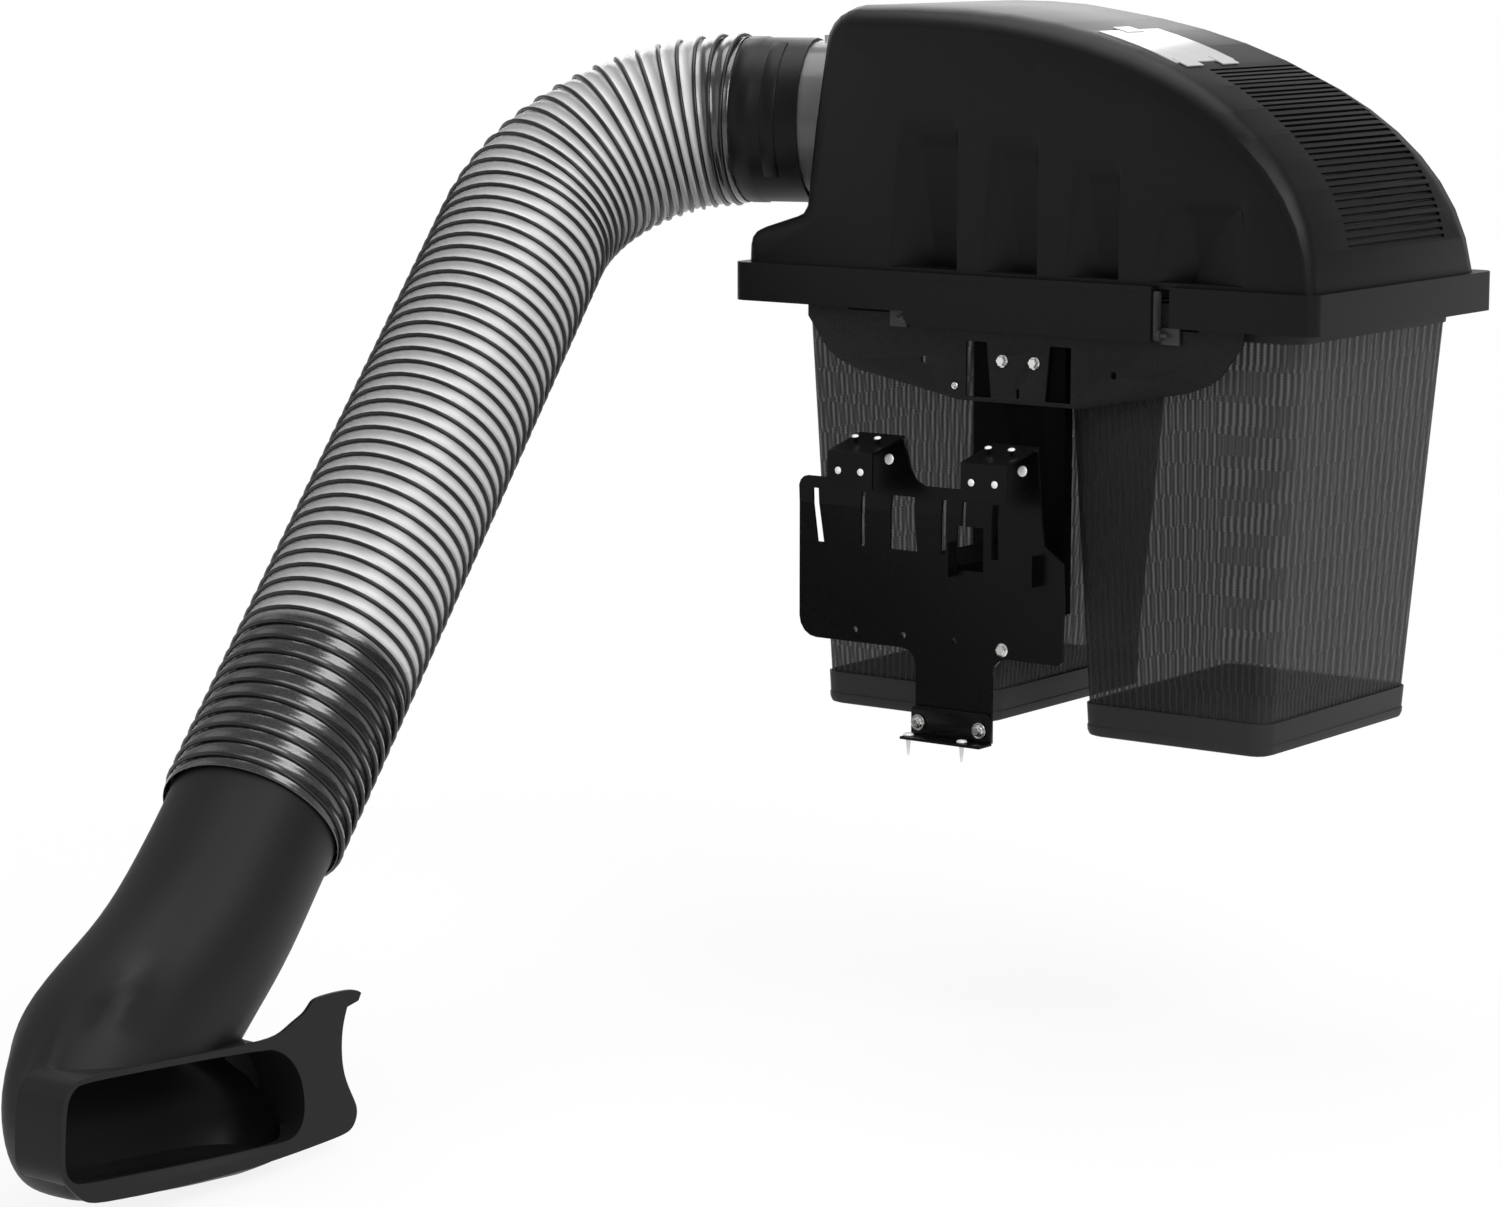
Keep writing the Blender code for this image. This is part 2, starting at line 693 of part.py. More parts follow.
def build_hood():
    """Make the hood's moulding: skin, ledge, skirt, flutes, apron and openings."""
    shell = add("hood_shell", hood_skin(), BLACK_PLASTIC, smooth=35)
    solidify(shell, HOOD_WALL)
    boolean(shell, add_cutter("flute_backs", flute_body("flute_backs", HOOD_WALL)), "UNION")
    boolean(shell, add_cutter("flutes", flute_body("flutes", 0.0)))
    corner = APRON_CORNER
    drop = -APRON_DROP
    outline = arc((APRON_LEFT + corner, drop + corner), corner, 180, 270, 4)
    outline += [(APRON_RIGHT, drop), (APRON_RIGHT, RIM_HEIGHT - 0.008), (APRON_LEFT, RIM_HEIGHT - 0.008)]
    apron = stand(flat_mesh("apron", [outline], APRON_PROUD + HOOD_WALL - 0.0004),
                  HOOD_FRONT - APRON_PROUD, RIM_BASE)
    boolean(shell, add_cutter("apron", apron), "UNION")
    back = (in_hood(APRON_RIGHT - HOOD_WALL, HOOD_WALL / 2, 0.0),
            in_hood(APRON_RIGHT - 0.0002, APRON_RETURN, RIM_HEIGHT - HOOD_WALL / 2))
    boolean(shell, add_cutter("apron_return", box_mesh("apron_return", back)), "UNION")
    notch = (in_hood(APRON_RIGHT, -0.01, -0.01),
             in_hood(APRON_RIGHT + HINGE_NOTCH, RIM_LEDGE - 0.001, RIM_HEIGHT + 0.0015))
    boolean(shell, add_cutter("hinge_notch", box_mesh("hinge_notch", notch)))
    out, wall = neck_axis()
    bore = rod_mesh("neck_bore", wall - out * 0.06, wall + out * 0.10, NECK_RADIUS + GAP)
    boolean(shell, add_cutter("neck_bore", bore))
    pane = roof_patch(WINDOW_LEFT, WINDOW_RIGHT, WINDOW_FRONT, WINDOW_BACK, -0.02, 0.02, "window_hole")
    boolean(shell, add_cutter("window_hole", pane))
    boolean(shell, add_cutter("vents", vent_cutter()))
    return shell


def build_window():
    """Make the clear window with its three tabs."""
    pane = add(
        "hood_window",
        roof_patch(WINDOW_LEFT + GAP, WINDOW_RIGHT - GAP, WINDOW_FRONT + GAP, WINDOW_BACK - GAP,
                   WINDOW_PROUD - WINDOW_THICKNESS, WINDOW_PROUD, "hood_window"),
        CLEAR_PLASTIC)
    middle = (WINDOW_FRONT + WINDOW_BACK) / 2
    spots = (
        (WINDOW_LEFT - TAB_REACH, WINDOW_LEFT + TAB_REACH, middle),
        (WINDOW_RIGHT - TAB_REACH, WINDOW_RIGHT + TAB_REACH, WINDOW_FRONT + TAB_WIDTH * 0.7),
        (WINDOW_RIGHT - TAB_REACH, WINDOW_RIGHT + TAB_REACH, WINDOW_BACK - TAB_WIDTH * 0.7),
    )
    for i, (x0, x1, y) in enumerate(spots):
        tab = roof_patch(x0, x1, y - TAB_WIDTH / 2, y + TAB_WIDTH / 2, GAP + 0.0002,
                         GAP + TAB_THICKNESS, f"window_tab_{i}")
        boolean(pane, add_cutter(f"window_tab_{i}", tab), "UNION")
    return pane


def build_neck():
    """Make the clear neck ring in the hood's wall, with its lip."""
    out, wall = neck_axis()
    end = COLLAR_START + NECK_LAP
    inner = NECK_RADIUS - NECK_THICKNESS
    profile = [(NECK_RADIUS, end), (NECK_RADIUS, -NECK_INSIDE), (inner, -NECK_INSIDE), (inner, end)]
    neck = turned("hood_neck", profile, wall, out, CLEAR_PLASTIC)
    lip_at = wall + out * (COLLAR_START - 0.012)
    side = Vector((-out.y, out.x, 0.0))
    bm = bmesh.new()
    place = Matrix.Translation(lip_at + Vector((0, 0, NECK_RADIUS + NECK_LIP_HEIGHT / 2 - 0.001)))
    turn = Matrix((out, side, Vector((0, 0, 1)))).transposed().to_4x4()
    size = Matrix.Diagonal((0.003, NECK_LIP_WIDTH, NECK_LIP_HEIGHT, 1.0))
    bmesh.ops.create_cube(bm, size=1.0, matrix=place @ turn @ size)
    mesh = mesh_from(bm, "neck_lip")
    boolean(neck, add_cutter("neck_lip", mesh), "UNION")
    return neck


def build_collar():
    """Make the black collar between the neck and the hose, with two raised bands."""
    out, wall = neck_axis()
    start = wall + out * COLLAR_START
    shown = COLLAR_SHOWN
    end = shown + COLLAR_SPIGOT
    r = COLLAR_RADIUS
    bore = NECK_RADIUS + GAP
    stop = NECK_LAP + GAP
    spigot = HOSE_BORE - GAP * 2
    profile = [(COLLAR_BORE, end)]
    for share in (1.0, 0.75, 0.5, 0.25, 0.0):
        along = share * COLLAR_SPIGOT
        lean = along * along / (2 * HOSE_BEND_RADIUS) + GAP
        profile.append((spigot - lean, shown + along))
    profile += [(r, shown - GAP), (r, shown - 0.004), (r + COLLAR_BEAD, shown - 0.006), (r + COLLAR_BEAD, shown - 0.026),
                (r, shown - 0.028)]
    profile += [(r, 0.0), (bore, 0.0), (bore, stop), (COLLAR_BORE, stop + 0.004)]
    return turned("hose_collar", profile, start, out, BLACK_PLASTIC)


# Hose and boot

def hose_frame():
    """Return the hose's start, its first heading and the point and direction that it turns towards."""
    out, wall = neck_axis()
    start = wall + out * (COLLAR_START + COLLAR_SHOWN + GAP)
    turn = (HOSE_HEADING - out * out.dot(HOSE_HEADING)).normalized()
    angle = math.acos(out.dot(HOSE_HEADING))
    return start, out, turn, angle


def hose_point(along):
    """Return the point of the hose's middle line at a distance from its start."""
    start, out, turn, angle = hose_frame()
    bend = HOSE_BEND_RADIUS * angle
    if along <= bend:
        t = along / HOSE_BEND_RADIUS
        return start + out * (HOSE_BEND_RADIUS * math.sin(t)) + turn * (HOSE_BEND_RADIUS * (1 - math.cos(t)))
    end = start + out * (HOSE_BEND_RADIUS * math.sin(angle)) + turn * (HOSE_BEND_RADIUS * (1 - math.cos(angle)))
    return end + HOSE_HEADING * (along - bend)


def hose_length():
    """Return the hose's length along its middle."""
    return HOSE_BEND_RADIUS * hose_frame()[3] + HOSE_STRAIGHT_LENGTH


def tube_mesh(name, stations, radii):
    """Return a closed tube along points, its radius given at each one, from a bevelled curve."""
    curve = bpy.data.curves.new(name, "CURVE")
    curve.dimensions = "3D"
    curve.bevel_depth = 1.0
    curve.bevel_resolution = (HOSE_SIDES - 4) // 2
    curve.use_fill_caps = True
    spline = curve.splines.new("POLY")
    spline.points.add(len(stations) - 1)
    for point, place, radius in zip(spline.points, stations, radii):
        point.co = (*place, 1.0)
        point.radius = radius
    obj = bpy.data.objects.new(name, curve)
    bpy.context.scene.collection.objects.link(obj)
    mesh = settled(obj)
    bpy.data.objects.remove(obj, do_unlink=True)
    bm = bmesh.new()
    bm.from_mesh(mesh)
    bmesh.ops.remove_doubles(bm, verts=bm.verts, dist=1e-6)
    bmesh.ops.recalc_face_normals(bm, faces=bm.faces)
    bm.to_mesh(mesh)
    bm.free()
    return mesh


def build_hose():
    """Make the hose: a film tube with a ridge at each turn of its wire, and its bore."""
    length = hose_length()
    turns = round(length / HOSE_PITCH)
    half = length / turns / 2
    start, out, turn, angle = hose_frame()
    stations = [start, start + out * HOSE_LEAD]
    stations += [hose_point(i * half) for i in range(1, 2 * turns + 1)]
    radii = [HOSE_RADIUS] + [HOSE_RADIUS if i % 2 == 0 else HOSE_FILM for i in range(2 * turns + 1)]
    hose = add("hose", tube_mesh("hose", stations, radii), HOSE_FILM_MATERIAL, smooth=50)
    bend = HOSE_BEND_RADIUS * hose_frame()[3]
    cuts = [-0.01, 0.0] + [bend * (i + 1) / 26 for i in range(26)] + [length + 0.01]
    bore_radius = HOSE_BORE / math.cos(math.pi / HOSE_SIDES)
    line = [start - out * 0.01] + [hose_point(s) for s in cuts[1:]]
    bore = add_cutter("hose_bore", tube_mesh("hose_bore", line, [bore_radius] * len(line)))
    boolean(hose, bore)
    return hose


def ring_at(centre, across, along, half_across, half_along, power, count):
    """Return a superellipse ring about a centre."""
    points = []
    for i in range(count):
        angle = 2 * math.pi * i / count
        c, s = math.cos(angle), math.sin(angle)
        u = math.copysign(abs(c) ** (2 / power), c) * half_across
        v = math.copysign(abs(s) ** (2 / power), s) * half_along
        points.append(centre + across * u + along * v)
    return points


def boot_rings(shrink):
    """Return the boot's rings from its spigot down to its floor, each one smaller by the wall."""
    length = hose_length()
    axis = HOSE_HEADING
    top = hose_point(length - BOOT_SPIGOT)
    end = hose_point(length)
    level = math.degrees(math.acos(-axis.z))
    side = (Vector((1, 0, 0)) - axis * axis.x).normalized()
    body = in_hood(MOUTH_X - BODY_HALF_DEPTH + 0.003, MOUTH_CENTRE_Y + 0.004, MOUTH_CENTRE_Z)
    half = BODY_HALF_DEPTH
    reach = BODY_HALF_LENGTH
    low = BODY_LOW - shrink
    waist = BOOT_WAIST
    spigot = HOSE_BORE - GAP * 2
    stations = (
        (top - axis * shrink, level, spigot, spigot, 2.0),
        (end, level, spigot, spigot, 2.0),
        (end + axis * 0.012, level, waist, waist, 2.0),
        (end + axis * 0.130, level, waist + 0.002, waist + 0.002, 2.0),
        (end + axis * 0.200 + Vector((-0.004, -0.009, 0.0)), level * 0.92, waist - 0.001, waist + 0.004, 2.05),
        (body + Vector((-0.042, 0.018, 0.070)), 26.0, half + 0.026, 0.126, 2.15),
        (body + Vector((-0.020, -0.002, 0.026)), 12.0, half + 0.022, reach - 0.014, 2.3),
        (body + Vector((-0.004, -0.003, -0.020)), -MOUTH_TILT, half + 0.006, reach, 2.7),
        (body + Vector((0.0, 0.003, -low * 0.66)), -MOUTH_TILT, half, reach - 0.008, BOOT_POWER),
        (body + Vector((0.0, 0.008, -low * 0.90)), -MOUTH_TILT, half - 0.007, reach - 0.022, BOOT_POWER),
        (body + Vector((0.0, 0.012, -low)), -MOUTH_TILT, half - 0.022, reach - 0.046, BOOT_POWER),
    )
    rings = []
    for centre, tilt, half_side, half_run, power in stations:
        turn = math.radians(tilt)
        run = Vector((0, -math.cos(turn), math.sin(turn)))
        across = side if tilt > 40 else Vector((1, 0, 0))
        rings.append(ring_at(centre, across, run, half_side - shrink, half_run - shrink, power, BOOT_SIDES))
    return rings


def closed_loft(name, rings):
    """Return a closed body through rings of points."""
    bm = bmesh.new()
    rows = loft_into(bm, rings)
    bm.faces.new(list(reversed(rows[0])))
    bm.faces.new(rows[-1])
    return mesh_from(bm, name)


def build_boot():
    """Make the boot: a round spigot that flattens into a body with a mouth and a flange."""
    boot = add("boot", closed_loft("boot", boot_rings(0.0)), BLACK_PLASTIC, smooth=40)
    mouth = in_hood(MOUTH_X, MOUTH_CENTRE_Y, MOUTH_CENTRE_Z)
    lean = math.radians(MOUTH_TILT)
    lie = Vector((0, math.cos(lean), math.sin(lean)))
    rise = Vector((0, -math.sin(lean), math.cos(lean)))
    turn = Matrix((lie, rise, lie.cross(rise))).transposed().to_4x4()
    thick = FLANGE_THICKNESS
    depth = BODY_HALF_DEPTH
    duct = flat_mesh("boot_duct", [mouth_outline(MOUTH_LIP)], depth)
    duct.transform(Matrix.Translation(mouth - Vector((thick / 2 + depth / 2, 0, 0))) @ turn)
    flange = flat_mesh("boot_flange", [flange_outline()], thick)
    flange.transform(Matrix.Translation(mouth - Vector((thick / 2, 0, 0))) @ turn)
    hollow = flat_mesh("boot_mouth", [mouth_outline(0.0)], depth + 0.02)
    hollow.transform(Matrix.Translation(mouth - Vector((depth / 2 - 0.01, 0, 0))) @ turn)
    boolean(boot, add_cutter("boot_duct", duct), "UNION")
    boolean(boot, add_cutter("boot_flange", flange), "UNION")
    boolean(boot, add_cutter("boot_inside", closed_loft("boot_inside", boot_rings(BOOT_WALL))))
    boolean(boot, add_cutter("boot_mouth", hollow))
    return boot


def mouth_outline(grow):
    """Return the mouth's outline about its middle, grown for the duct round it."""
    x = MOUTH_LENGTH / 2
    z = MOUTH_HEIGHT / 2
    c = MOUTH_CORNER
    b = MOUTH_BACK_CORNER
    outline = arc((x - c, -z + c), c + grow, -90, 0, 3)
    outline += arc((x - b, z - b), b + grow, 0, 90, 5)
    outline += arc((-x + c, z - c), c + grow, 90, 180, 3)
    outline += arc((-x + c, -z + c), c + grow, 180, 270, 3)
    return outline


def flange_outline():
    """Return the flange's outline about the mouth's middle, with the ear at its back corner."""
    x = MOUTH_LENGTH / 2
    z = MOUTH_HEIGHT / 2
    c = MOUTH_CORNER
    foot = -z - FLANGE_FOOT
    edge = FLANGE_EDGE
    back = x + FLANGE_BACK
    ear = z + FLANGE_EAR
    outline = [(-x + 0.030, foot + 0.004), (-x + 0.055, foot), (x - 0.10, foot), (x + 0.030, foot + 0.014)]
    outline += arc((back - 0.022, foot + 0.040), 0.022, -75, 40, 4)
    outline += [(x + FLANGE_NECK + 0.004, z - 0.046), (x + FLANGE_NECK - 0.001, z - 0.014)]
    outline += [(x + FLANGE_NECK, z + 0.010), (x + FLANGE_NECK + 0.006, z + 0.029)]
    outline += [(x + FLANGE_NECK + 0.024, z + 0.034), (x + FLANGE_NECK + 0.028, z + 0.042)]
    outline += [(x + FLANGE_NECK + 0.017, ear), (x + 0.012, ear - 0.003), (x + 0.004, ear - 0.008)]
    outline += [(x - 0.004, z + 0.030), (x - 0.026, z + 0.022), (x - 0.044, z + edge), (x - 0.09, z + edge * 0.7)]
    outline += arc((-x + c, z - c), c + edge * 0.6, 90, 180, 3)
    outline += arc((-x + c, -z + c), c + edge * 0.6, 180, 235, 3)
    return outline


# Bag frame and bags

def build_frame():
    """Make the bar frame that the bags' lips rest on, one welded piece."""
    z0 = FRAME_BASE
    z1 = FRAME_BASE + FRAME_HEIGHT
    half = FRAME_HALF_WIDTH
    bar = FRAME_BAR
    y0 = BEHIND_PLATE
    y1 = FRAME_BACK
    mid = BAG_MIDDLE
    outer = box_mesh("support_frame", (in_hood(mid - half, y0, z0), in_hood(mid + half, y1, z1)))
    frame = add("support_frame", outer, BLACK_STEEL)
    middle = FRAME_MIDDLE / 2
    holes = box_mesh(
        "frame_holes",
        (in_hood(mid - half + bar, y0 + bar, z0 - 0.01), in_hood(mid - middle, y1 - bar, z1 + 0.01)),
        (in_hood(mid + middle, y0 + bar, z0 - 0.01), in_hood(mid + half - bar, y1 - bar, z1 + 0.01)),
    )
    below = box_mesh("frame_middle", (
        in_hood(mid - middle - 0.01, y0 + bar, z0 - 0.01), in_hood(mid + middle + 0.01, y1 - bar, z1 - bar)),
    )
    boolean(frame, add_cutter("frame_holes", holes))
    boolean(frame, add_cutter("frame_middle", below))
    return frame


def bag_bounds(drop):
    """Return the right bag's outline at a depth below the rim: inner, outer, front and back."""
    share = drop / BAG_DROP
    inner = BAG_TOP_INNER + (BAG_FLOOR_INNER - BAG_TOP_INNER) * share
    outer = BAG_TOP_OUTER + (BAG_FLOOR_OUTER - BAG_TOP_OUTER) * share
    back = BAG_TOP_BACK + (BAG_FLOOR_BACK - BAG_TOP_BACK) * share
    return inner, outer, BAG_FRONT, back


def bag_ring(drop, inset, corner=None):
    """Return one level ring of the right bag."""
    inner, outer, front, back = bag_bounds(drop)
    radius = (BAG_CORNER if corner is None else corner) - inset
    outline = rounded_box(inner + inset, outer - inset, front + inset, back - inset, max(radius, 0.004))
    return [in_hood(x, y, -drop) for x, y in outline]


def sided(mesh, side):
    """Mirror a mesh made for the right side when it is for the left, and move it to its place."""
    if side < 0:
        mesh.transform(Matrix.Diagonal((-1.0, 1.0, 1.0, 1.0)))
        mesh.flip_normals()
    mesh.transform(Matrix.Translation((BAG_MIDDLE, 0, 0)))
    return mesh


def build_pan(name, side):
    """Make a bag's moulded floor pan with a thicker band at its foot."""
    bm = bmesh.new()
    rings = [
        bag_ring(BAG_DROP, PAN_EDGE),
        bag_ring(BAG_DROP - 0.3 * PAN_EDGE, PAN_EDGE * 0.25 - PAN_BAND_PROUD),
        bag_ring(BAG_DROP - PAN_EDGE, -PAN_BAND_PROUD),
        bag_ring(BAG_DROP - PAN_BAND, -PAN_BAND_PROUD),
        bag_ring(BAG_DROP - PAN_BAND - PAN_BAND_PROUD, 0.0),
        bag_ring(BAG_DROP - PAN_HEIGHT, 0.0),
    ]
    rows = loft_into(bm, rings)
    bm.faces.new(list(reversed(rows[0])))
    pan = add(name, sided(mesh_from(bm, name), side), BAG_PLASTIC, smooth=30)
    solidify(pan, BAG_WALL)
    return pan


def build_net(name, side):
    """Make a bag's net walls, open above and below, with rows of upright gaps."""
    inset = BAG_WALL + GAP
    low = BAG_DROP - PAN_HEIGHT + NET_LAP
    high = BAND_DROP - NET_LAP
    bm = bmesh.new()
    loft_into(bm, [bag_ring(low, inset), bag_ring(high, inset)])
    net = add(name, sided(mesh_from(bm, name), side), NET_PLASTIC, smooth=30)
    solidify(net, NET_WALL)
    bottom = -(BAG_DROP - PAN_HEIGHT - NET_PLAIN)
    top = -(BAND_DROP + NET_PLAIN)
    inner, outer, front, back = bag_bounds(BAG_DROP)
    wide = NET_GAP_WIDTH / 2
    through = bmesh.new()
    first, last = inner + NET_CORNER, outer - NET_CORNER
    for i in range(NET_GAPS_FRONT):
        x = first + (last - first) * i / (NET_GAPS_FRONT - 1)
        box_into(through, in_hood(x - wide, front - 0.05, bottom), in_hood(x + wide, BAG_TOP_BACK + 0.05, top))
    cut = sided(mesh_from(through, name + "_front_gaps"), side)
    boolean(net, add_cutter(name + "_front_gaps", cut))
    across = bmesh.new()
    first, last = front + NET_CORNER, back - NET_CORNER
    for i in range(NET_GAPS_SIDE):
        y = first + (last - first) * i / (NET_GAPS_SIDE - 1)
        box_into(across, in_hood(BAG_TOP_INNER - 0.02, y - wide, bottom), in_hood(BAG_TOP_OUTER + 0.02, y + wide, top))
    cut = sided(mesh_from(across, name + "_side_gaps"), side)
    boolean(net, add_cutter(name + "_side_gaps", cut))
    return net


def build_bag_rim(name, side):
    """Make a bag's rim: a plain band with a lip that lies on the frame."""
    seat = FRAME_BASE + FRAME_HEIGHT + GAP
    inner = FRAME_MIDDLE / 2 - LIP_SEAT
    outline = rounded_box(inner, FRAME_HALF_WIDTH, BEHIND_PLATE, FRAME_BACK, LIP_CORNER)
    edge = [in_hood(x, y, seat) for x, y in outline]
    bm = bmesh.new()
    loft_into(bm, [bag_ring(BAND_DROP, 0.0), bag_ring(-seat, 0.0), edge])
    mesh = sided(mesh_from(bm, name), side)
    middle = sum((v.co for v in mesh.vertices), Vector()) / len(mesh.vertices)
    band = mesh.polygons[0]
    if band.normal.dot(band.center - middle) < 0:
        mesh.flip_normals()
    rim = add(name, mesh, BAG_PLASTIC, smooth=30)
    solidify(rim, BAG_WALL)
    return rim


def build_bags():
    """Make both bags of rim, net and pan."""
    for word, side in (("left", -1), ("right", 1)):
        build_pan(f"bag_pan_{word}", side)
        build_net(f"bag_net_{word}", side)
        build_bag_rim(f"bag_rim_{word}", side)


# Mount plate, post and arm

def build_plate():
    """Make the flat mount plate with its windows, slot, slits and holes."""
    half = list(PLATE_HALF)
    outline = [(x, z) for x, z in half] + [(-x, z) for x, z in reversed(half)]
    top_x = half[0][0]
    outline += [(-top_x, PLATE_TOP), (top_x, PLATE_TOP)]
    holes = [list(PLATE_WINDOW), [(-x, z) for x, z in PLATE_WINDOW]]
    x, z, wide, tall = PLATE_SLOT
    holes.append(rounded_box(x - wide / 2, x + wide / 2, z - tall / 2, z + tall / 2, wide * 0.45, 2))
    holes += [circle(px, pz, PLATE_HOLE_RADIUS) for px, pz in PLATE_HOLES]
    holes += [circle(px, pz, BOLT_SHANK + GAP) for px, pz in MOUNT_BOLTS]
    holes.append(circle(*SMALL_BOLT, SMALL_SHANK + GAP))
    for side in (-1, 1):
        near, far = SLIT_REACH
        low = SLIT_HEIGHT - SLIT_WIDTH / 2
        high = SLIT_HEIGHT + SLIT_WIDTH / 2
        a, b = sorted((side * near, side * far))
        holes.append([(a, low), (b, low), (b, high), (a, high)])
    mesh = stand(flat_mesh("mount_plate", [outline] + holes, PLATE_THICKNESS), HOOD_FRONT + PLATE_FRONT, RIM_BASE)
    return add("mount_plate", mesh, BLACK_STEEL)


def build_post():
    """Make the post: a channel open at its back, bolted behind the mount plate."""
    wide = POST_HALF_WIDTH
    y0 = HOOD_FRONT + BEHIND_PLATE
    section = [(-wide, y0 + POST_DEPTH), (-wide, y0), (wide, y0), (wide, y0 + POST_DEPTH)]
    bm = bmesh.new()
    loft_into(bm, [[Vector((x, y, RIM_BASE + z)) for x, y in section] for z in (POST_FOOT, POST_TOP)], close=False)
    post = add("post", mesh_from(bm, "post"), BLACK_STEEL)
    if post.data.polygons[1].normal.y > 0:
        post.data.flip_normals()
    solidify(post, POST_WALL)
    bm = bmesh.new()
    for x, z in MOUNT_BOLTS:
        place = Matrix.Translation(in_hood(x, BEHIND_PLATE, z)) @ Matrix.Rotation(math.pi / 2, 4, "X")
        bmesh.ops.create_cone(bm, cap_ends=True, segments=BOLT_TURNS, radius1=BOLT_SHANK + GAP,
                              radius2=BOLT_SHANK + GAP, depth=0.02, matrix=place)
    boolean(post, add_cutter("post_holes", mesh_from(bm, "post_holes")))
    return post


def build_arm():
    """Make the box arm from the post forward to the lower bracket."""
    wide, tall, wall = ARM_HALF_WIDTH, ARM_HALF_HEIGHT, ARM_WALL
    y0 = BRACKET_BACK + GAP
    y1 = HOOD_FRONT + BEHIND_PLATE - GAP
    arm = add("arm", box_mesh("arm", ((-wide, y0, -tall), (wide, y1, tall))), BLACK_STEEL)
    inside = box_mesh("arm_bore", ((-wide + wall, y0 - 0.01, -tall + wall), (wide - wall, y1 + 0.01, tall - wall)))
    boolean(arm, add_cutter("arm_bore", inside))
    return arm


# Lower bracket

def fold_path():
    """Return the front face of the folded sheet as points (y, z) with the length up to each."""
    tilt = math.radians(TILT)
    slope = math.radians(HOOK_SLOPE)
    low = Vector((0.0, FOOT_END))
    bend = Vector((0.0, BEND_Z))
    top = bend + Vector((math.sin(tilt), math.cos(tilt))) * TONGUE_TOP
    reach = top + Vector((-math.cos(slope), -math.sin(slope))) * HOOK_REACH
    face = reach + Vector((0.0, -HOOK_FACE))
    points = [low, bend, top, reach, face]
    lengths = [FOOT_END]
    for a, b in zip(points, points[1:]):
        lengths.append(lengths[-1] + (b - a).length)
    return points, lengths


def folded(length, depth):
    """Return (y, z) of a point of the sheet at a length along it and a depth behind its face."""
    points, lengths = fold_path()
    last = len(points) - 2
    k = 0
    while k < last and length > lengths[k + 1] + 1e-7:
        k += 1
    along = (points[k + 1] - points[k]).normalized()
    normal = Vector((along.y, -along.x))
    for joint in (k, k + 1):
        if 0 < joint < len(points) - 1 and abs(length - lengths[joint]) < 1e-6:
            before = (points[joint] - points[joint - 1]).normalized()
            after = (points[joint + 1] - points[joint]).normalized()
            normal_a = Vector((before.y, -before.x))
            normal_b = Vector((after.y, -after.x))
            middle = (normal_a + normal_b).normalized()
            return points[joint] + middle * (depth / middle.dot(normal_a))
    return points[k] + along * (length - lengths[k]) + normal * depth


def bracket_outline():
    """Return the blank's outline, its height measured along the sheet."""
    points, lengths = fold_path()
    end = lengths[-1]
    c = BRACKET_CORNER
    f = FOOT_FILLET
    left, right, low = BRACKET_LEFT, BRACKET_RIGHT, BRACKET_BOTTOM
    outline = arc((left + c, low + c), c, 180, 270, 4)
    outline += arc((FOOT_LEFT - f, low - f), f, 90, 0, 3)
    outline += [(FOOT_LEFT, FOOT_END), (FOOT_RIGHT, FOOT_END)]
    outline += arc((FOOT_RIGHT + f, low - f), f, 180, 90, 3)
    outline += [(right - 0.004, low), (right, low + 0.004), (right + 0.002, 0.003), (right, 0.048)]
    outline += [(0.153, 0.066), (0.1505, 0.086)]
    outline += [(HOOK_RIGHT[1] + 0.002, lengths[2] - 0.004), (HOOK_RIGHT[1], lengths[2] + 0.004)]
    outline += [(HOOK_RIGHT[1], end), (HOOK_RIGHT[0], end), (HOOK_RIGHT[0], lengths[2] - 0.002)]
    outline += [(HOOK_RIGHT[0] - 0.002, BRACKET_TOP + 0.004), (HOOK_RIGHT[0] - 0.008, BRACKET_TOP)]
    outline += [(-0.012, BRACKET_TOP), (-0.024, BRACKET_TOP + 0.006), (-0.033, BRACKET_TOP + 0.018)]
    outline += [(-0.040, lengths[2] - 0.014), (HOOK_LEFT[1], lengths[2] + 0.002)]
    outline += [(HOOK_LEFT[1], end), (HOOK_LEFT[0], end), (HOOK_LEFT[0], lengths[2] - 0.002)]
    outline += [(HOOK_LEFT[0] - 0.002, BRACKET_TOP + 0.004), (HOOK_LEFT[0] - 0.008, BRACKET_TOP)]
    ear = 0.012
    outline += arc((left - 0.003 + ear, BRACKET_TOP - ear), ear, 90, 180, 3)
    outline += [(left, BEND_Z)]
    return outline


def hook_rivet_places():
    """Return each rivet of the hooks: x, length along the sheet, kind."""
    lengths = fold_path()[1]
    places = []
    for left, right in (HOOK_LEFT, HOOK_RIGHT):
        middle = (left + right) / 2
        for x in (middle - 0.0155, middle + 0.0155):
            places.append((x, lengths[3] + HOOK_FACE * 0.5, "face"))
            places.append((x, lengths[2] + HOOK_REACH * 0.45, "top"))
        places.append((right - 0.016, lengths[2] - 0.024, "tongue"))
    return places


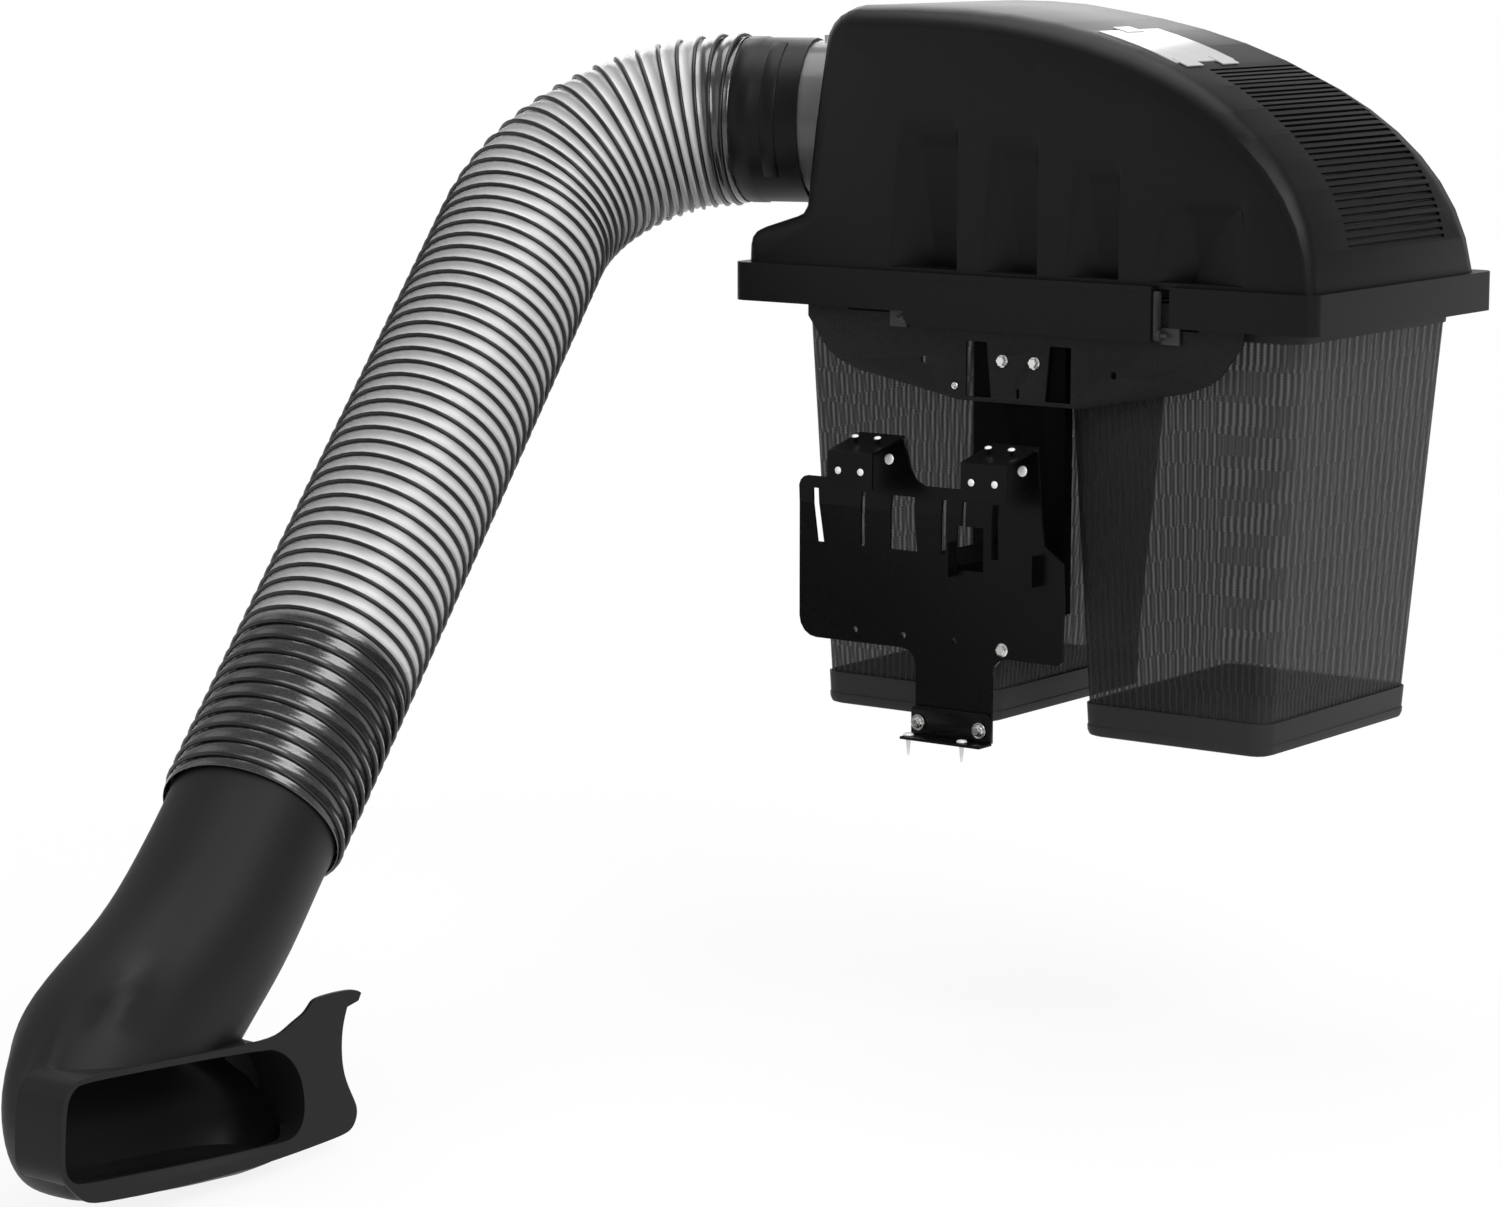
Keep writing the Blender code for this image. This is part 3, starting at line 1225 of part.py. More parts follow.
def build_bracket():
    """Make the lower bracket with both hooks and the foot tongue from one folded sheet."""
    lengths = fold_path()[1]
    holes = []
    for (x, lean), wide in zip(SLOTS, SLOT_WIDTHS):
        holes.append([(x - lean * 0.0, SLOT_TOP), (x - lean, SLOT_BOTTOM), (x - lean + wide, SLOT_BOTTOM),
                      (x + wide * 0.85, SLOT_TOP)])
    x0, x1, z0, z1 = CUT_WINDOW
    merged = holes.pop(4)
    holes.insert(4, [merged[0], (merged[0][0], z1), (x0, z1), (x0, z0), (x1, z0), (x1, z1),
                     (merged[3][0], z1), merged[3]])
    holes += [circle(x, HOLE_ROW, BRACKET_HOLE_RADIUS) for x in BRACKET_HOLES]
    holes.append(circle(*BRACKET_BOLT, BOLT_SHANK + GAP))
    holes += [circle(x, z, BOLT_SHANK + GAP) for x, z in FOOT_BOLTS]
    holes += [circle(x, s, RIVET_SHANK + GAP, RIVET_TURNS) for x, s, kind in hook_rivet_places()]
    mesh = flat_mesh("lower_bracket", [bracket_outline()] + holes, SHEET)
    bm = bmesh.new()
    bm.from_mesh(mesh)
    for length in lengths[1:-1]:
        geom = bm.verts[:] + bm.edges[:] + bm.faces[:]
        bmesh.ops.bisect_plane(bm, geom=geom, plane_co=(0, length, 0), plane_no=(0, 1, 0), dist=1e-6)
    for v in bm.verts:
        y, z = folded(v.co.y, v.co.z + SHEET / 2)
        v.co = Vector((v.co.x, y, z))
    bracket = add("lower_bracket", mesh_from(bm, "lower_bracket"), BLACK_STEEL)
    for i, (x, z_low, z_high) in enumerate(TABS):
        tab = box_mesh(f"bracket_tab_{i}", ((x, -TAB_DEPTH, z_low), (x + SHEET, SHEET * 0.5, z_high)))
        boolean(bracket, add_cutter(f"bracket_tab_{i}", tab), "UNION")
    return bracket


def build_angle():
    """Make the foot angle: a leg on the tongue's face and a leg that stands forward."""
    front = -GAP
    corner = ANGLE_CORNER
    outline = [(ANGLE_LEFT, ANGLE_FOOT), (ANGLE_RIGHT, ANGLE_FOOT)]
    outline += arc((ANGLE_RIGHT - corner, ANGLE_TOP - corner), corner, 0, 90, 3)
    outline += arc((ANGLE_LEFT + corner, ANGLE_TOP - corner), corner, 90, 180, 3)
    holes = [circle(x, z, BOLT_SHANK + GAP) for x, z in FOOT_BOLTS]
    mesh = stand(flat_mesh("foot_angle", [outline] + holes, SHEET), front - SHEET)
    angle = add("foot_angle", mesh, BLACK_STEEL)
    leg = box_mesh("foot_leg", ((ANGLE_LEFT, front - ANGLE_REACH, ANGLE_FOOT),
                                (ANGLE_RIGHT, front - SHEET * 0.5, ANGLE_FOOT + SHEET)))
    boolean(angle, add_cutter("foot_leg", leg), "UNION")
    bm = bmesh.new()
    for x in FOOT_PINS:
        place = Matrix.Translation((x, -FOOT_PIN_OUT, ANGLE_FOOT + SHEET / 2))
        bmesh.ops.create_cone(bm, cap_ends=True, segments=BOLT_TURNS, radius1=FOOT_PIN_RADIUS + GAP,
                              radius2=FOOT_PIN_RADIUS + GAP, depth=SHEET * 3, matrix=place)
    boolean(angle, add_cutter("foot_pin_holes", mesh_from(bm, "foot_pin_holes")))
    return angle


# Fasteners

def build_bolt(name, face, direction, shank, head, height, through, mat, steps=BOLT_TURNS):
    """Make a domed bolt or rivet; its head's underside is at face, and it goes along direction."""
    profile = [
        (0.0, -height), (head * 0.55, -height * 0.92), (head * 0.88, -height * 0.55), (head, -height * 0.12),
        (head, 0.0), (shank, 0.0), (shank, through), (0.0, through),
    ]
    return turned(name, profile, face, direction, mat, steps)


def build_washer(name, face, direction, hole):
    """Make a flat washer whose back lies at face."""
    profile = [(WASHER_RADIUS, -WASHER_THICKNESS), (WASHER_RADIUS, 0.0), (hole, 0.0), (hole, -WASHER_THICKNESS)]
    return turned(name, profile, face, direction, ZINC, BOLT_TURNS)


def build_fasteners():
    """Make the bolts, washers, rivets and foot pins."""
    back = Vector((0, 1, 0))
    plate_face = HOOD_FRONT + PLATE_FRONT - GAP
    for word, (x, z) in zip(("left", "right"), MOUNT_BOLTS):
        through = GAP + PLATE_THICKNESS + GAP + POST_WALL + SHANK_PAST
        build_bolt(f"mount_bolt_{word}", (x, plate_face, RIM_BASE + z), back, BOLT_SHANK, BOLT_HEAD,
                   BOLT_HEAD_HEIGHT, through, ZINC)
    x, z = SMALL_BOLT
    build_bolt("plate_screw", (x, plate_face, RIM_BASE + z), back, SMALL_SHANK, SMALL_HEAD,
               SMALL_HEAD_HEIGHT, GAP + PLATE_THICKNESS + SHANK_PAST, ZINC)
    x, z = BRACKET_BOLT
    build_bolt("bracket_bolt", (x, -GAP, z), back, BOLT_SHANK, BOLT_HEAD, BOLT_HEAD_HEIGHT,
               GAP + SHEET + SHANK_PAST, ZINC)
    angle_face = -GAP - SHEET
    for word, (x, z) in zip(("left", "right"), FOOT_BOLTS):
        washer_back = angle_face - GAP
        build_washer(f"foot_washer_{word}", (x, washer_back, z), back, BOLT_SHANK + GAP)
        head = washer_back - WASHER_THICKNESS - GAP
        build_bolt(f"foot_bolt_{word}", (x, head, z), back, BOLT_SHANK, BOLT_HEAD * 0.85, BOLT_HEAD_HEIGHT,
                   -head + SHEET + SHANK_PAST, ZINC)
    for word, x in zip(("left", "right"), FOOT_PINS):
        top = ANGLE_FOOT + SHEET + GAP
        r = FOOT_PIN_RADIUS
        profile = [(0.0, -0.0032), (r * 1.5, -0.0026), (r * 1.9, -0.0008), (r * 1.9, 0.0), (r, 0.0),
                   (r, SHEET + 2 * GAP), (r * 0.30, FOOT_PIN_LENGTH), (0.0, FOOT_PIN_LENGTH)]
        turned(f"foot_pin_{word}", profile, (x, -FOOT_PIN_OUT, top), (0, 0, -1), WHITE_METAL, BOLT_TURNS)
    counts = {"left": 0, "right": 0}
    for x, length, kind in hook_rivet_places():
        word = "left" if x < 0 else "right"
        counts[word] += 1
        if kind == "tongue":
            y, z = folded(length, -GAP)
            deeper = folded(length, SHEET)
            direction = Vector((0, deeper[0] - y, deeper[1] - z)).normalized()
            build_bolt(f"rivet_{word}_{counts[word]}", (x, y, z), direction, RIVET_SHANK, BIG_RIVET_HEAD,
                       RIVET_HEAD_HEIGHT, GAP + SHEET + SHANK_PAST, WHITE_METAL, RIVET_TURNS)
            continue
        stem = RIVET_STEM if kind == "top" else 0.0
        y, z = folded(length, SHEET + GAP + stem)
        deeper = folded(length, 0.0)
        direction = Vector((0, deeper[0] - y, deeper[1] - z)).normalized()
        build_bolt(f"rivet_{word}_{counts[word]}", (x, y, z), direction, RIVET_SHANK, RIVET_HEAD,
                   RIVET_HEAD_HEIGHT, stem + GAP + SHEET + SHANK_PAST, WHITE_METAL, RIVET_TURNS)


# Hinges

def build_hinges():
    """Make the two hinges: an arm on the hood, a bracket on the plate and a pin."""
    axis_z = RIM_BASE - HINGE_DROP
    axis_y = HOOD_FRONT + HINGE_Y
    eye = HINGE_EYE_RADIUS
    thick = HINGE_ARM_THICKNESS
    for word, edge, side in (("left", APRON_LEFT, -1), ("right", APRON_RIGHT, 1)):
        arm_x = edge + side * (GAP + thick / 2)
        ear_x = arm_x + side * (thick + GAP)
        bore = HINGE_PIN_RADIUS + GAP
        outline = arc((0.0, 0.0), eye, 180, 360, 8)
        outline += [(eye, HINGE_ARM_HEIGHT * 0.2), (eye * 0.9, HINGE_DROP + HINGE_ARM_HEIGHT)]
        outline += [(-eye, HINGE_DROP + HINGE_ARM_HEIGHT)]
        turn = Matrix.Rotation(math.pi / 2, 4, "Z") @ Matrix.Rotation(math.pi / 2, 4, "X")
        arm = flat_mesh(f"hinge_arm_{word}", [outline, circle(0.0, 0.0, bore)], thick)
        arm.transform(Matrix.Translation((arm_x, axis_y, axis_z)) @ turn)
        add(f"hinge_arm_{word}", arm, BLACK_STEEL)
        plate_gap = PLATE_FRONT - HINGE_Y - GAP
        outline = arc((0.0, 0.0), eye, 90, 270, 6) + [(plate_gap, -eye), (plate_gap, eye)]
        ear = flat_mesh(f"hinge_bracket_{word}", [outline, circle(0.0, 0.0, bore)], thick)
        ear.transform(Matrix.Translation((ear_x, axis_y, axis_z)) @ turn)
        bracket = add(f"hinge_bracket_{word}", ear, BLACK_STEEL)
        a = ear_x + side * thick / 2 - side * 0.0015
        b = ear_x + side * (thick / 2 + HINGE_BASE_WIDTH)
        base = box_mesh(f"hinge_base_{word}", (
            (min(a, b), axis_y + plate_gap - 0.003, axis_z - eye * 1.6),
            (max(a, b), axis_y + plate_gap, axis_z + eye * 1.3)))
        boolean(bracket, add_cutter(f"hinge_base_{word}", base), "UNION")
        start = arm_x - side * (thick / 2 + 0.0015)
        end = ear_x + side * (thick / 2 + HINGE_PIN_END)
        pin = rod_mesh(f"hinge_pin_{word}", (start, axis_y, axis_z), (end, axis_y, axis_z),
                       HINGE_PIN_RADIUS, BOLT_TURNS)
        add(f"hinge_pin_{word}", pin, ZINC, smooth=40)


clear_scene()
PARTS = make_collection("twin_bagger")
CUTTERS = make_collection("cutters")
BLACK_PLASTIC = material("black_plastic", (0.013, 0.013, 0.013), 0.45)
BAG_PLASTIC = material("bag_plastic", (0.030, 0.030, 0.029), 0.5)
NET_PLASTIC = material("net_plastic", (0.035, 0.035, 0.035), 0.6)
BLACK_STEEL = material("black_steel", (0.010, 0.010, 0.010), 0.4)
CLEAR_PLASTIC = material("clear_plastic", (0.75, 0.77, 0.77), 0.15)
HOSE_FILM_MATERIAL = material("hose_film", (0.65, 0.66, 0.67), 0.35)
ZINC = material("zinc", (0.62, 0.61, 0.58), 0.3, 1.0)
WHITE_METAL = material("white_metal", (0.80, 0.80, 0.80), 0.35, 0.4)

build_hood()
build_window()
build_neck()
build_collar()
build_hose()
build_boot()
build_frame()
build_bags()
build_plate()
build_post()
build_arm()
build_bracket()
build_angle()
build_fasteners()
build_hinges()
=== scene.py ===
"""Looks of the twin bagger: its pieces in their finishes, a pale floor, soft lamps and the camera."""
import math

import bmesh
import bpy
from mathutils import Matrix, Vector
from mathutils.bvhtree import BVHTree


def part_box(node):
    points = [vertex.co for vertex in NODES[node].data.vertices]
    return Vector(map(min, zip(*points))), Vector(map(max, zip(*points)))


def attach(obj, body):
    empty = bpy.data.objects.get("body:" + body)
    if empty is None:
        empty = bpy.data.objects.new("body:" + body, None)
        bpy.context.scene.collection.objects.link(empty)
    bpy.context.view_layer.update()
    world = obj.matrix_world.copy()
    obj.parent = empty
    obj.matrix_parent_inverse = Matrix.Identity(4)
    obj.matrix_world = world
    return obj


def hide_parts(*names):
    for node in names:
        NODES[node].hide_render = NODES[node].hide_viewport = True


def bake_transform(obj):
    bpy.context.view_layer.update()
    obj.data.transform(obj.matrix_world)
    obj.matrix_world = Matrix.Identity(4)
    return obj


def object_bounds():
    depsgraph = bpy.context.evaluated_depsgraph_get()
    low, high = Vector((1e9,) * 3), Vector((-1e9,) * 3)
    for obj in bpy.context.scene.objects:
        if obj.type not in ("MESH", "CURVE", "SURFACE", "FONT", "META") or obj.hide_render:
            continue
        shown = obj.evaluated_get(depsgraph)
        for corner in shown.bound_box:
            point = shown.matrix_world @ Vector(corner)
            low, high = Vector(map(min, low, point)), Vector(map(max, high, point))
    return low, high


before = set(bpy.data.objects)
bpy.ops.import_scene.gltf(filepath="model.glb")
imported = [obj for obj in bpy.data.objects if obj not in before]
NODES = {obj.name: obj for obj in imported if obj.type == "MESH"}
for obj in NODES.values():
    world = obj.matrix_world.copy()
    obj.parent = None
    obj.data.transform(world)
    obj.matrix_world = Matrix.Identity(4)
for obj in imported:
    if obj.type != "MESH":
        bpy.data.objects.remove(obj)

bl_info = {
    "name": "Twin bagger",
    "version": (1, 0, 0),
    "blender": (4, 5, 0),
    "location": "3D View > Sidebar > Twin bagger",
    "description": "Dresses the twin bagger's solids and sets up its stage",
    "category": "Object",
}

CAD_BOX = [list(corner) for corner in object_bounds()]

# Places shared with the part, in metres
NECK_TURN = math.radians(20.4)
NECK_OUT = Vector((-math.cos(NECK_TURN), -math.sin(NECK_TURN), 0.0))
NECK_WALL = Vector((-0.300, 0.372, 0.5085))
COLLAR_START = 0.106
COLLAR_SHOWN = 0.087
COLLAR_RADIUS = 0.1010
HOSE_START = NECK_WALL + NECK_OUT * (COLLAR_START + COLLAR_SHOWN + 0.0003)
HOSE_HEADING = Vector((0.191, -0.746, -0.639)).normalized()
HOSE_BEND_RADIUS = 0.240
HOSE_STRAIGHT = 0.924
FILM_WALL = 0.0006
RIM_FRONT = 0.160
RIM_BASE = 0.300
RIM_WIDTH = 0.800
RIM_DEPTH = 0.429
RIM_ROUND = 0.016

# Screen behind the vents: middle of its bend in x and z, its angles, its ends in y, its depth and wall
SCREEN_MIDDLE = (0.050, 0.330)
SCREEN_ANGLES = (8.0, 64.0)
SCREEN_ENDS = (RIM_FRONT + 0.099, RIM_FRONT + 0.338)
SCREEN_DROP = 0.0036
SCREEN_WALL = 0.0006

# Bulge of the boot beside its mouth
BULGE_SPOT = Vector((-0.372, -0.930, -0.342))
BULGE_OUT = Vector((0.60, -0.36, 0.71)).normalized()
BULGE_RADIUS = 0.022
BULGE_HEIGHT = 0.018

# Flutes in the hood's front: left edge, right edge, depth at the foot, height of the top
FLUTES = (
    (-0.177, -0.083, 0.036, RIM_BASE + 0.240),
    (-0.046, 0.028, 0.028, RIM_BASE + 0.225),
    (0.068, 0.138, 0.026, RIM_BASE + 0.194),
    (0.182, 0.300, 0.026, RIM_BASE + 0.154),
)
FLUTE_FOOT = RIM_BASE + 0.050
FLUTE_MARGIN = 0.004     # field round a flute that is made anew
FLUTE_RAMP = 0.43        # share of a flute's width where its slope ends
FLUTE_REACH = 0.110      # how far behind the rim's face the solid's flutes are looked for
FLUTE_NEAR = 0.012       # how far from a flute's edge its side wall may lie
PATCH_STEP = 0.003
RAY_INSET = 0.0003
RAY_LIFT = 0.0004

# Bags: the right one, from the middle between them; the left one is its mirror
BAG_MIDDLE = 0.017
BAG_TOP = (0.0255, 0.3430, 0.040, 0.405)
BAG_FLOOR = (0.0625, 0.3070, 0.040, 0.380)
BAG_DROP = 0.488
PAN_HEIGHT = 0.039
BAND_DROP = 0.014
NET_INSET = 0.0030
NET_LAP = 0.004

# Where the hose lies on the collar's and the boot's spigots, as shares of its length
COLLAR_SHARE = 0.036
BOOT_SHARE = 0.827


# Small tools

class Socket:
    """A node's output that takes part in Python sums, each of which adds a Math node."""

    def __init__(self, graph, out):
        self.graph = graph
        self.out = out

    def _sum(self, operation, first, second=None):
        return self.graph.node("ShaderNodeMath", {"operation": operation}, {0: first, 1: second})

    def __add__(self, other):
        return self._sum("ADD", self, other)

    def __radd__(self, other):
        return self._sum("ADD", other, self)

    def __sub__(self, other):
        return self._sum("SUBTRACT", self, other)

    def __rsub__(self, other):
        return self._sum("SUBTRACT", other, self)

    def __mul__(self, other):
        return self._sum("MULTIPLY", self, other)

    def __rmul__(self, other):
        return self._sum("MULTIPLY", other, self)

    def __truediv__(self, other):
        return self._sum("DIVIDE", self, other)

    def cosine(self):
        """Return the cosine, of radians."""
        return self._sum("COSINE", self)


class Graph:
    """Fills one node tree."""

    def __init__(self, tree):
        self.tree = tree

    def node(self, kind, settings=None, values=None, output=0):
        """Add a node, give it its settings and then the values or links of its sockets."""
        made = self.tree.nodes.new(kind)
        for key, value in (settings or {}).items():
            setattr(made, key, value)
        for key, value in (values or {}).items():
            self.feed(made.inputs[key], value)
        if not made.outputs:
            return None
        return Socket(self, made.outputs[output])

    def feed(self, socket, value):
        """Link or set one input socket."""
        if value is None:
            return
        if isinstance(value, Socket):
            self.tree.links.new(value.out, socket)
        else:
            socket.default_value = value

    def other(self, socket, name):
        """Return another output of the node that a socket belongs to."""
        return Socket(self, socket.out.node.outputs[name])


def link(obj):
    """Put an object into the scene."""
    bpy.context.scene.collection.objects.link(obj)
    return obj


def mesh_of(bm, name):
    """Turn built faces into a new mesh."""
    mesh = bpy.data.meshes.new(name)
    bm.to_mesh(mesh)
    bm.free()
    return mesh


def shaded(mesh, angle):
    """Shade a mesh smooth, apart from its edges sharper than an angle in degrees."""
    mesh.polygons.foreach_set("use_smooth", [True] * len(mesh.polygons))
    mesh.set_sharp_from_angle(angle=math.radians(angle))


def piece(name, mesh, mat, smooth=None):
    """Make a scene object of a mesh whose place is in its points."""
    mesh.materials.clear()
    mesh.materials.append(mat)
    mesh.polygons.foreach_set("material_index", [0] * len(mesh.polygons))
    if smooth is not None:
        shaded(mesh, smooth)
    return link(bpy.data.objects.new(name, mesh))


def finished(obj, body, slot, *nodes):
    """Tie a finished piece to its body and hide the solids that it stands for; the finish's slot is not used.
    """
    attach(obj, body)
    if nodes:
        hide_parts(*nodes)
    return obj


def baked(obj):
    """Turn an object's modifiers into plain mesh."""
    mesh = bpy.data.meshes.new_from_object(obj.evaluated_get(bpy.context.evaluated_depsgraph_get()))
    obj.modifiers.clear()
    obj.data = mesh
    return obj


def merged(node, flatten=False):
    """Copy a solid's mesh with its loose triangles joined, and its flat faces made whole if asked."""
    bm = bmesh.new()
    bm.from_mesh(NODES[node].data)
    bmesh.ops.remove_doubles(bm, verts=bm.verts, dist=2e-6)
    bmesh.ops.dissolve_degenerate(bm, edges=bm.edges, dist=1e-7)
    if flatten:
        bmesh.ops.dissolve_limit(bm, angle_limit=math.radians(0.4), verts=bm.verts, edges=bm.edges)
    for layer in (bm.loops.layers.float_vector, bm.loops.layers.uv):
        for name in layer.keys():
            layer.remove(layer[name])
    mesh = mesh_of(bm, node + "_shown")
    for name in ("custom_normal", "sharp_face", "sharp_edge"):
        if name in mesh.attributes:
            mesh.attributes.remove(mesh.attributes[name])
    return mesh


def smoothed(node, mat, body, slot, smooth):
    """Show a solid with its curves shaded smooth."""
    return finished(piece(node + "_shown", merged(node), mat, smooth), body, slot, node)


def softened(node, mat, body, slot, edge, smooth=35):
    """Show a flat-sided solid with its edges slightly rounded."""
    obj = piece(node + "_shown", merged(node, flatten=True), mat)
    bevel = obj.modifiers.new("edges", "BEVEL")
    bevel.width = edge
    bevel.segments = 2
    bevel.limit_method = "ANGLE"
    bevel.angle_limit = math.radians(40)
    baked(obj)
    shaded(obj.data, smooth)
    return finished(obj, body, slot, node)


def dressed(node, mat):
    """Give a solid that stays its better finish."""
    for slot in NODES[node].material_slots:
        slot.material = mat


def lathe(profile, sides):
    """Return a closed turned mesh along +Z from (radius, height) points whose ends are on the axis."""
    bm = bmesh.new()
    rings = []
    for radius, height in profile:
        if radius < 1e-7:
            rings.append([bm.verts.new((0, 0, height))])
            continue
        turn = [2 * math.pi * k / sides for k in range(sides)]
        rings.append([bm.verts.new((radius * math.cos(a), radius * math.sin(a), height)) for a in turn])
    for low, high in zip(rings, rings[1:]):
        for k in range(sides):
            after = k + 1
            corners = [low[k % len(low)], low[after % len(low)], high[after % len(high)], high[k % len(high)]]
            bm.faces.new(list(dict.fromkeys(corners)))
    bmesh.ops.recalc_face_normals(bm, faces=bm.faces)
    return bm


def new_tree(name, inputs):
    """Make a geometry tree with named inputs, and return its graph and its group input."""
    tree = bpy.data.node_groups.new(name, "GeometryNodeTree")
    face = tree.interface
    face.new_socket("Geometry", in_out="INPUT", socket_type="NodeSocketGeometry")
    for word, (kind, value) in inputs.items():
        made = face.new_socket(word, in_out="INPUT", socket_type="NodeSocket" + kind)
        if value is not None:
            made.default_value = value
    face.new_socket("Geometry", in_out="OUTPUT", socket_type="NodeSocketGeometry")
    graph = Graph(tree)
    return graph, graph.node("NodeGroupInput")


def close_tree(graph, geometry, mat):
    """End a geometry tree: make instances real, give the material and hand the mesh out."""
    real = graph.node("GeometryNodeRealizeInstances", None, {0: geometry})
    done = graph.node("GeometryNodeSetMaterial", None, {0: real, "Material": mat})
    graph.node("NodeGroupOutput", None, {0: done})


def grown(name, graph, seed, values, smooth=None):
    """Run a geometry tree on a seed mesh and return the plain piece."""
    carrier = link(bpy.data.objects.new(name + "_seed", seed))
    modifier = carrier.modifiers.new("grow", "NODES")
    modifier.node_group = graph.tree
    for item in graph.tree.interface.items_tree:
        if item.in_out == "INPUT" and item.name in values:
            modifier[item.identifier] = values[item.name]
    mesh = bpy.data.meshes.new_from_object(carrier.evaluated_get(bpy.context.evaluated_depsgraph_get()))
    bpy.data.objects.remove(carrier)
    return piece(name, mesh, values["Material"], smooth)


# Materials

def material(name, alpha=False):
    """Make an empty material and return it with its graph."""
    mat = bpy.data.materials.new(name)
    mat.use_nodes = True
    mat.node_tree.nodes.clear()
    if alpha:
        mat.surface_render_method = "DITHERED"
    return mat, Graph(mat.node_tree)


def surface(graph, values):
    """Close a material with the principled shader."""
    shader = graph.node("ShaderNodeBsdfPrincipled", None, values)
    graph.node("ShaderNodeOutputMaterial", None, {0: shader})


def place(graph):
    """Return the object's own coordinates."""
    return graph.other(graph.node("ShaderNodeTexCoord"), "Object")


def noise(graph, where, scale, detail=2.0):
    """Return a noise value from 0 to 1."""
    return graph.node("ShaderNodeTexNoise", None, {"Vector": where, "Scale": scale, "Detail": detail})


def tone(graph, mask, dark, light):
    """Return a colour between two, by a mask."""
    return graph.node("ShaderNodeMix", {"data_type": "RGBA"}, {"Factor": mask, 6: dark, 7: light}, 2)


def grey(level, warm=0.0):
    """Return a plain colour near grey."""
    return (level * (1 + warm), level, level * (1 - warm), 1.0)


def moulded(name, level, rough, sheen, grain, depth, shine=0.18):
    """Moulded plastic: faint tone changes, fine grain in its gloss and a shallow texture."""
    mat, graph = material(name)
    where = place(graph)
    broad = noise(graph, where, 7.0)
    fine = noise(graph, where, grain, 3.0)
    color = tone(graph, broad, grey(level * 0.86, 0.01), grey(level * 1.14, 0.01))
    gloss = rough + (fine - 0.5) * sheen + (broad - 0.5) * 0.05
    bump = graph.node("ShaderNodeBump", None, {"Strength": 0.35, "Distance": depth, "Height": fine})
    surface(graph, {"Base Color": color, "Roughness": gloss, "Normal": bump, "Specular IOR Level": shine})
    return mat


def coated(name, level, rough, grain, depth, speckle=0.0, shine=0.2):
    """Powder-coated steel: orange-peel texture, with light speckle where it is coarse."""
    mat, graph = material(name)
    where = place(graph)
    peel = noise(graph, where, grain, 2.0)
    broad = noise(graph, where, 11.0)
    color = tone(graph, peel, grey(level * (1 - speckle)), grey(level * (1 + speckle)))
    gloss = rough + (peel - 0.5) * 0.16 + (broad - 0.5) * 0.06
    bump = graph.node("ShaderNodeBump", None, {"Strength": 0.5, "Distance": depth, "Height": peel})
    surface(graph, {"Base Color": color, "Roughness": gloss, "Normal": bump, "Specular IOR Level": shine})
    return mat


def plated(name, level, rough, metal=1.0):
    """Plated metal with faint clouding."""
    mat, graph = material(name)
    where = place(graph)
    cloud = noise(graph, where, 160.0, 3.0)
    color = tone(graph, cloud, grey(level * 0.86, 0.012), grey(level * 1.08, 0.012))
    gloss = rough + (cloud - 0.5) * 0.12
    bump = graph.node("ShaderNodeBump", None, {"Strength": 0.2, "Distance": 0.00008, "Height": cloud})
    surface(graph, {"Base Color": color, "Roughness": gloss, "Metallic": metal, "Normal": bump})
    return mat


def clear_sheet(name, level, alpha, rough, streak):
    """Clear moulded plastic with faint flow streaks and haze."""
    mat, graph = material(name, alpha=True)
    where = place(graph)
    haze = noise(graph, where, 30.0, 3.0)
    color = tone(graph, haze, grey(level * 0.95), grey(level * 1.05))
    veil = alpha + (haze - 0.5) * streak
    surface(graph, {"Base Color": color, "Roughness": rough, "Alpha": veil, "Specular IOR Level": 0.5})
    return mat


def hose_skin(name, settings):
    """Frosted hose film, finely crinkled, with painted shade that darkens it next to each turn of the wire;
    where it lies on a black spigot it looks black, with lighter specks painted in as glints under a glossy
    coat.
    """
    mat, graph = material(name, alpha=True)
    where = place(graph)
    crinkle = noise(graph, where, 600.0, 2.0)
    haze = noise(graph, where, 18.0, 2.0)
    along = graph.node("ShaderNodeAttribute", {"attribute_name": "along"}, None, 2)
    wave = graph.node("ShaderNodeAttribute", {"attribute_name": "wave"}, None, 2)
    edge = 0.004
    at_collar = graph.node("ShaderNodeMapRange", None, {
        "Value": along, "From Min": COLLAR_SHARE - edge, "From Max": COLLAR_SHARE + edge,
        "To Min": 1.0, "To Max": 0.0})
    at_boot = graph.node("ShaderNodeMapRange", None, {
        "Value": along, "From Min": BOOT_SHARE - edge, "From Max": BOOT_SHARE + edge})
    lying = at_collar + at_boot
    level = settings.film_level
    # Painted shade: the film's colour is darker next to each turn of the wire and lighter midway between
    # turns.
    frost_and_wire_shade = tone(graph, wave, grey(level * 0.42), grey(level * 1.06))
    # Painted glints: over the spigots, lighter specks in the black stand in for the silvery glints of the
    # crinkled film.
    glint_speck = graph.node("ShaderNodeMapRange", None, {"Value": crinkle, "From Min": 0.42, "From Max": 0.72})
    dark = tone(graph, glint_speck, grey(0.008, 0.02), grey(0.050, 0.02))
    color = tone(graph, lying, frost_and_wire_shade, dark)
    open_veil = settings.film_cover + (haze - 0.5) * 0.10
    veil = open_veil + (0.93 - open_veil) * lying
    gloss = 0.14 + crinkle * 0.18
    bump = graph.node("ShaderNodeBump", None, {"Strength": 0.35, "Distance": 0.0004, "Height": crinkle})
    surface(graph, {"Base Color": color, "Roughness": gloss, "Alpha": veil, "Normal": bump,
                    "Coat Weight": lying * 0.9, "Coat Roughness": 0.16})
    return mat


